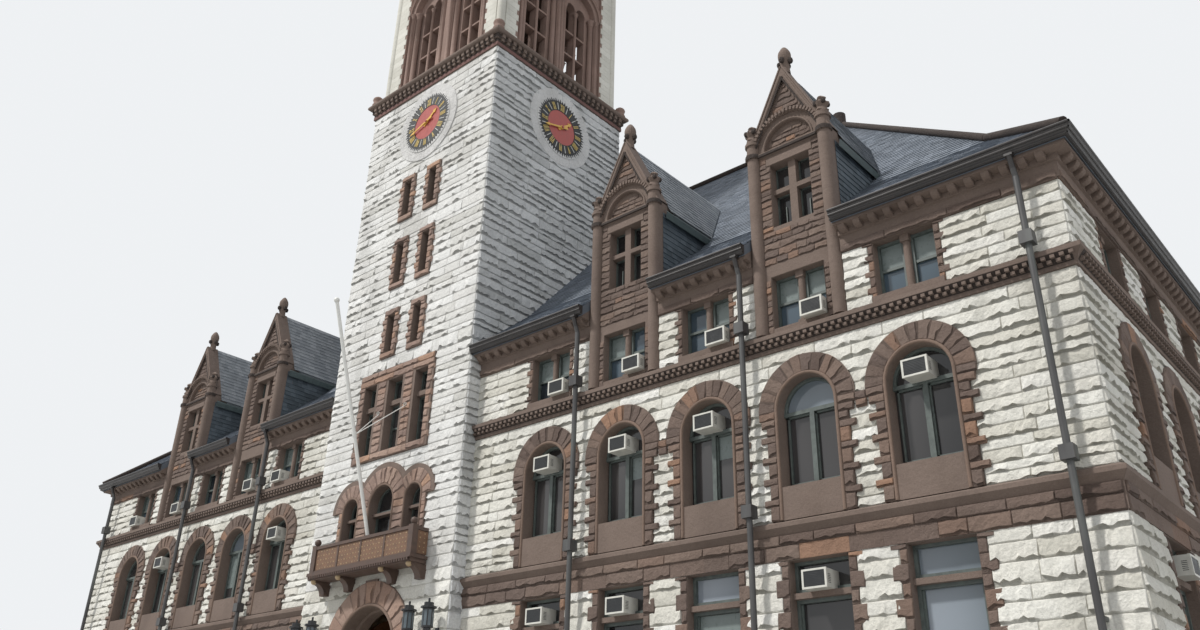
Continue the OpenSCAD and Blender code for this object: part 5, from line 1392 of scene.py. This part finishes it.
CORNER_BALL = [(0.1, 0), (0.116, 0.03), (0.1, 0.06), (0.09, 0.09), (0.1, 0.13), (0.113, 0.165), (0.1, 0.2),
               (0.06, 0.236), (0.01, 0.24)]
shaft = [(0.082, 0.0)]
for z in np.arange(0.35, BELL_TOP - BELL_FOOT - 0.1, 0.38):
    shaft += [(0.082, z), (0.077, z + 0.004), (0.082, z + 0.008)]
shaft.append((0.082, BELL_TOP - BELL_FOOT))
for x in SIDES:
    for y in SIDES:
        for shape, out, profile, n in ((bell_shafts, 0.11, CORNER_BALL, 20),
                                       (corner_shafts, -0.045, shaft, 32)):
            centre = (x * (BELL_HALF + out), TOWER_MID + y * (BELL_SIDE + out), BELL_FOOT)
            lathe(shape, centre, profile, n)

# Spire
SPIRE_FOOT, SPIRE_TIP = low("spire_roof", Z), 23.7
spire_slates = Shape("spire_slates", "slate")
for wall, half, run in four_walls(high("spire_roof", X), high("spire_roof", Y) - TOWER_MID):
    length = math.hypot(run, SPIRE_TIP - SPIRE_FOOT)
    tapering(spire_slates, wall.place(0, 0, SPIRE_FOOT), wall, run, SPIRE_TIP - SPIRE_FOOT, half, length,
             half / length, 0.13)

for shape in Shape.collected:
    if shape.points:
        shape.make()

# Stage
scene = bpy.context.scene
scene.view_settings.view_transform = "Standard"


def seen_directly(tree):
    """1 for camera, glossy and transmission rays, which see the backdrop, and 0 for diffuse rays."""
    path = add_node(tree, "LightPath")
    gloss = math_node(tree, "MAXIMUM", path.outputs["Is Glossy Ray"], path.outputs["Is Transmission Ray"])
    return math_node(tree, "MAXIMUM", path.outputs["Is Camera Ray"], gloss)


floor_mesh = bpy.data.meshes.new("floor")
FAR = 400
floor_mesh.from_pydata([(-FAR, -FAR, 0), (FAR, -FAR, 0), (FAR, FAR, 0), (-FAR, FAR, 0)], [], [(0, 1, 2, 3)])
floor = bpy.data.objects.new("floor", floor_mesh)
scene.collection.objects.link(floor)
tree = new_material(None, "pale_floor")
shader = tree.nodes["Principled BSDF"]
shader.inputs["Roughness"].default_value = 0.9
feed(tree, shader.inputs["Base Color"],
     mix_color(tree, seen_directly(tree), (0.42, 0.42, 0.41), (0.78, 0.78, 0.77)))
floor_mesh.materials.append(FINISHES["pale_floor"][0])

world = bpy.data.worlds.new("studio")
scene.world = world
world.use_nodes = True
tree = world.node_tree
tree.nodes.clear()
output = add_node(tree, "OutputWorld")
soft = add_node(tree, "Background", Color=(0.93, 0.96, 1.0), Strength=0.55)
shown = add_node(tree, "Background", Color=(0.86, 0.88, 0.9), Strength=1.0)
mixer = add_node(tree, "MixShader")
for socket, value in enumerate((seen_directly(tree), soft.outputs[0], shown.outputs[0])):
    feed(tree, mixer.inputs[socket], value)
feed(tree, output.inputs["Surface"], mixer.outputs[0])


def sun(name, direction, strength, angle, color=(1, 1, 1)):
    light = bpy.data.lights.new(name, "SUN")
    light.energy = strength
    light.angle = math.radians(angle)
    light.color = color
    obj = bpy.data.objects.new(name, light)
    obj.rotation_euler = Vector(direction).to_track_quat("-Z", "Y").to_euler()
    scene.collection.objects.link(obj)


sun("key", (0.42, 0.62, -0.95), 3.1, 5, (1.0, 0.975, 0.935))
sun("fill", (-0.8, 0.35, -0.4), 0.35, 30)

# The photo's camera, fitted to the building's edges
PHOTO_W, PHOTO_H, SENSOR = 1200, 630, 36.0
FOCAL_PX, CENTRE_Y = 1013.13, 300.96
CAMERA_AT = (13.447, -10.041, 0.8)
yaw, pitch, roll = (math.radians(a) for a in (-41.965, 26.656, 1.435))
look = Vector((math.sin(yaw) * math.cos(pitch), math.cos(yaw) * math.cos(pitch), math.sin(pitch)))
level = Vector((math.cos(yaw), -math.sin(yaw), 0))
upright = level.cross(look)
right = level * math.cos(roll) + upright * math.sin(roll)
up = upright * math.cos(roll) - level * math.sin(roll)
camera_data = bpy.data.cameras.new("camera")
camera_data.sensor_width = SENSOR
camera_data.lens = FOCAL_PX * SENSOR / PHOTO_W
camera_data.shift_y = (CENTRE_Y - PHOTO_H / 2) / PHOTO_W
camera_data.clip_end = 1000
camera = bpy.data.objects.new("camera", camera_data)
turned = Matrix((right, up, -look)).transposed().to_4x4()
camera.matrix_world = Matrix.Translation(CAMERA_AT) @ turned
scene.collection.objects.link(camera)
scene.camera = camera
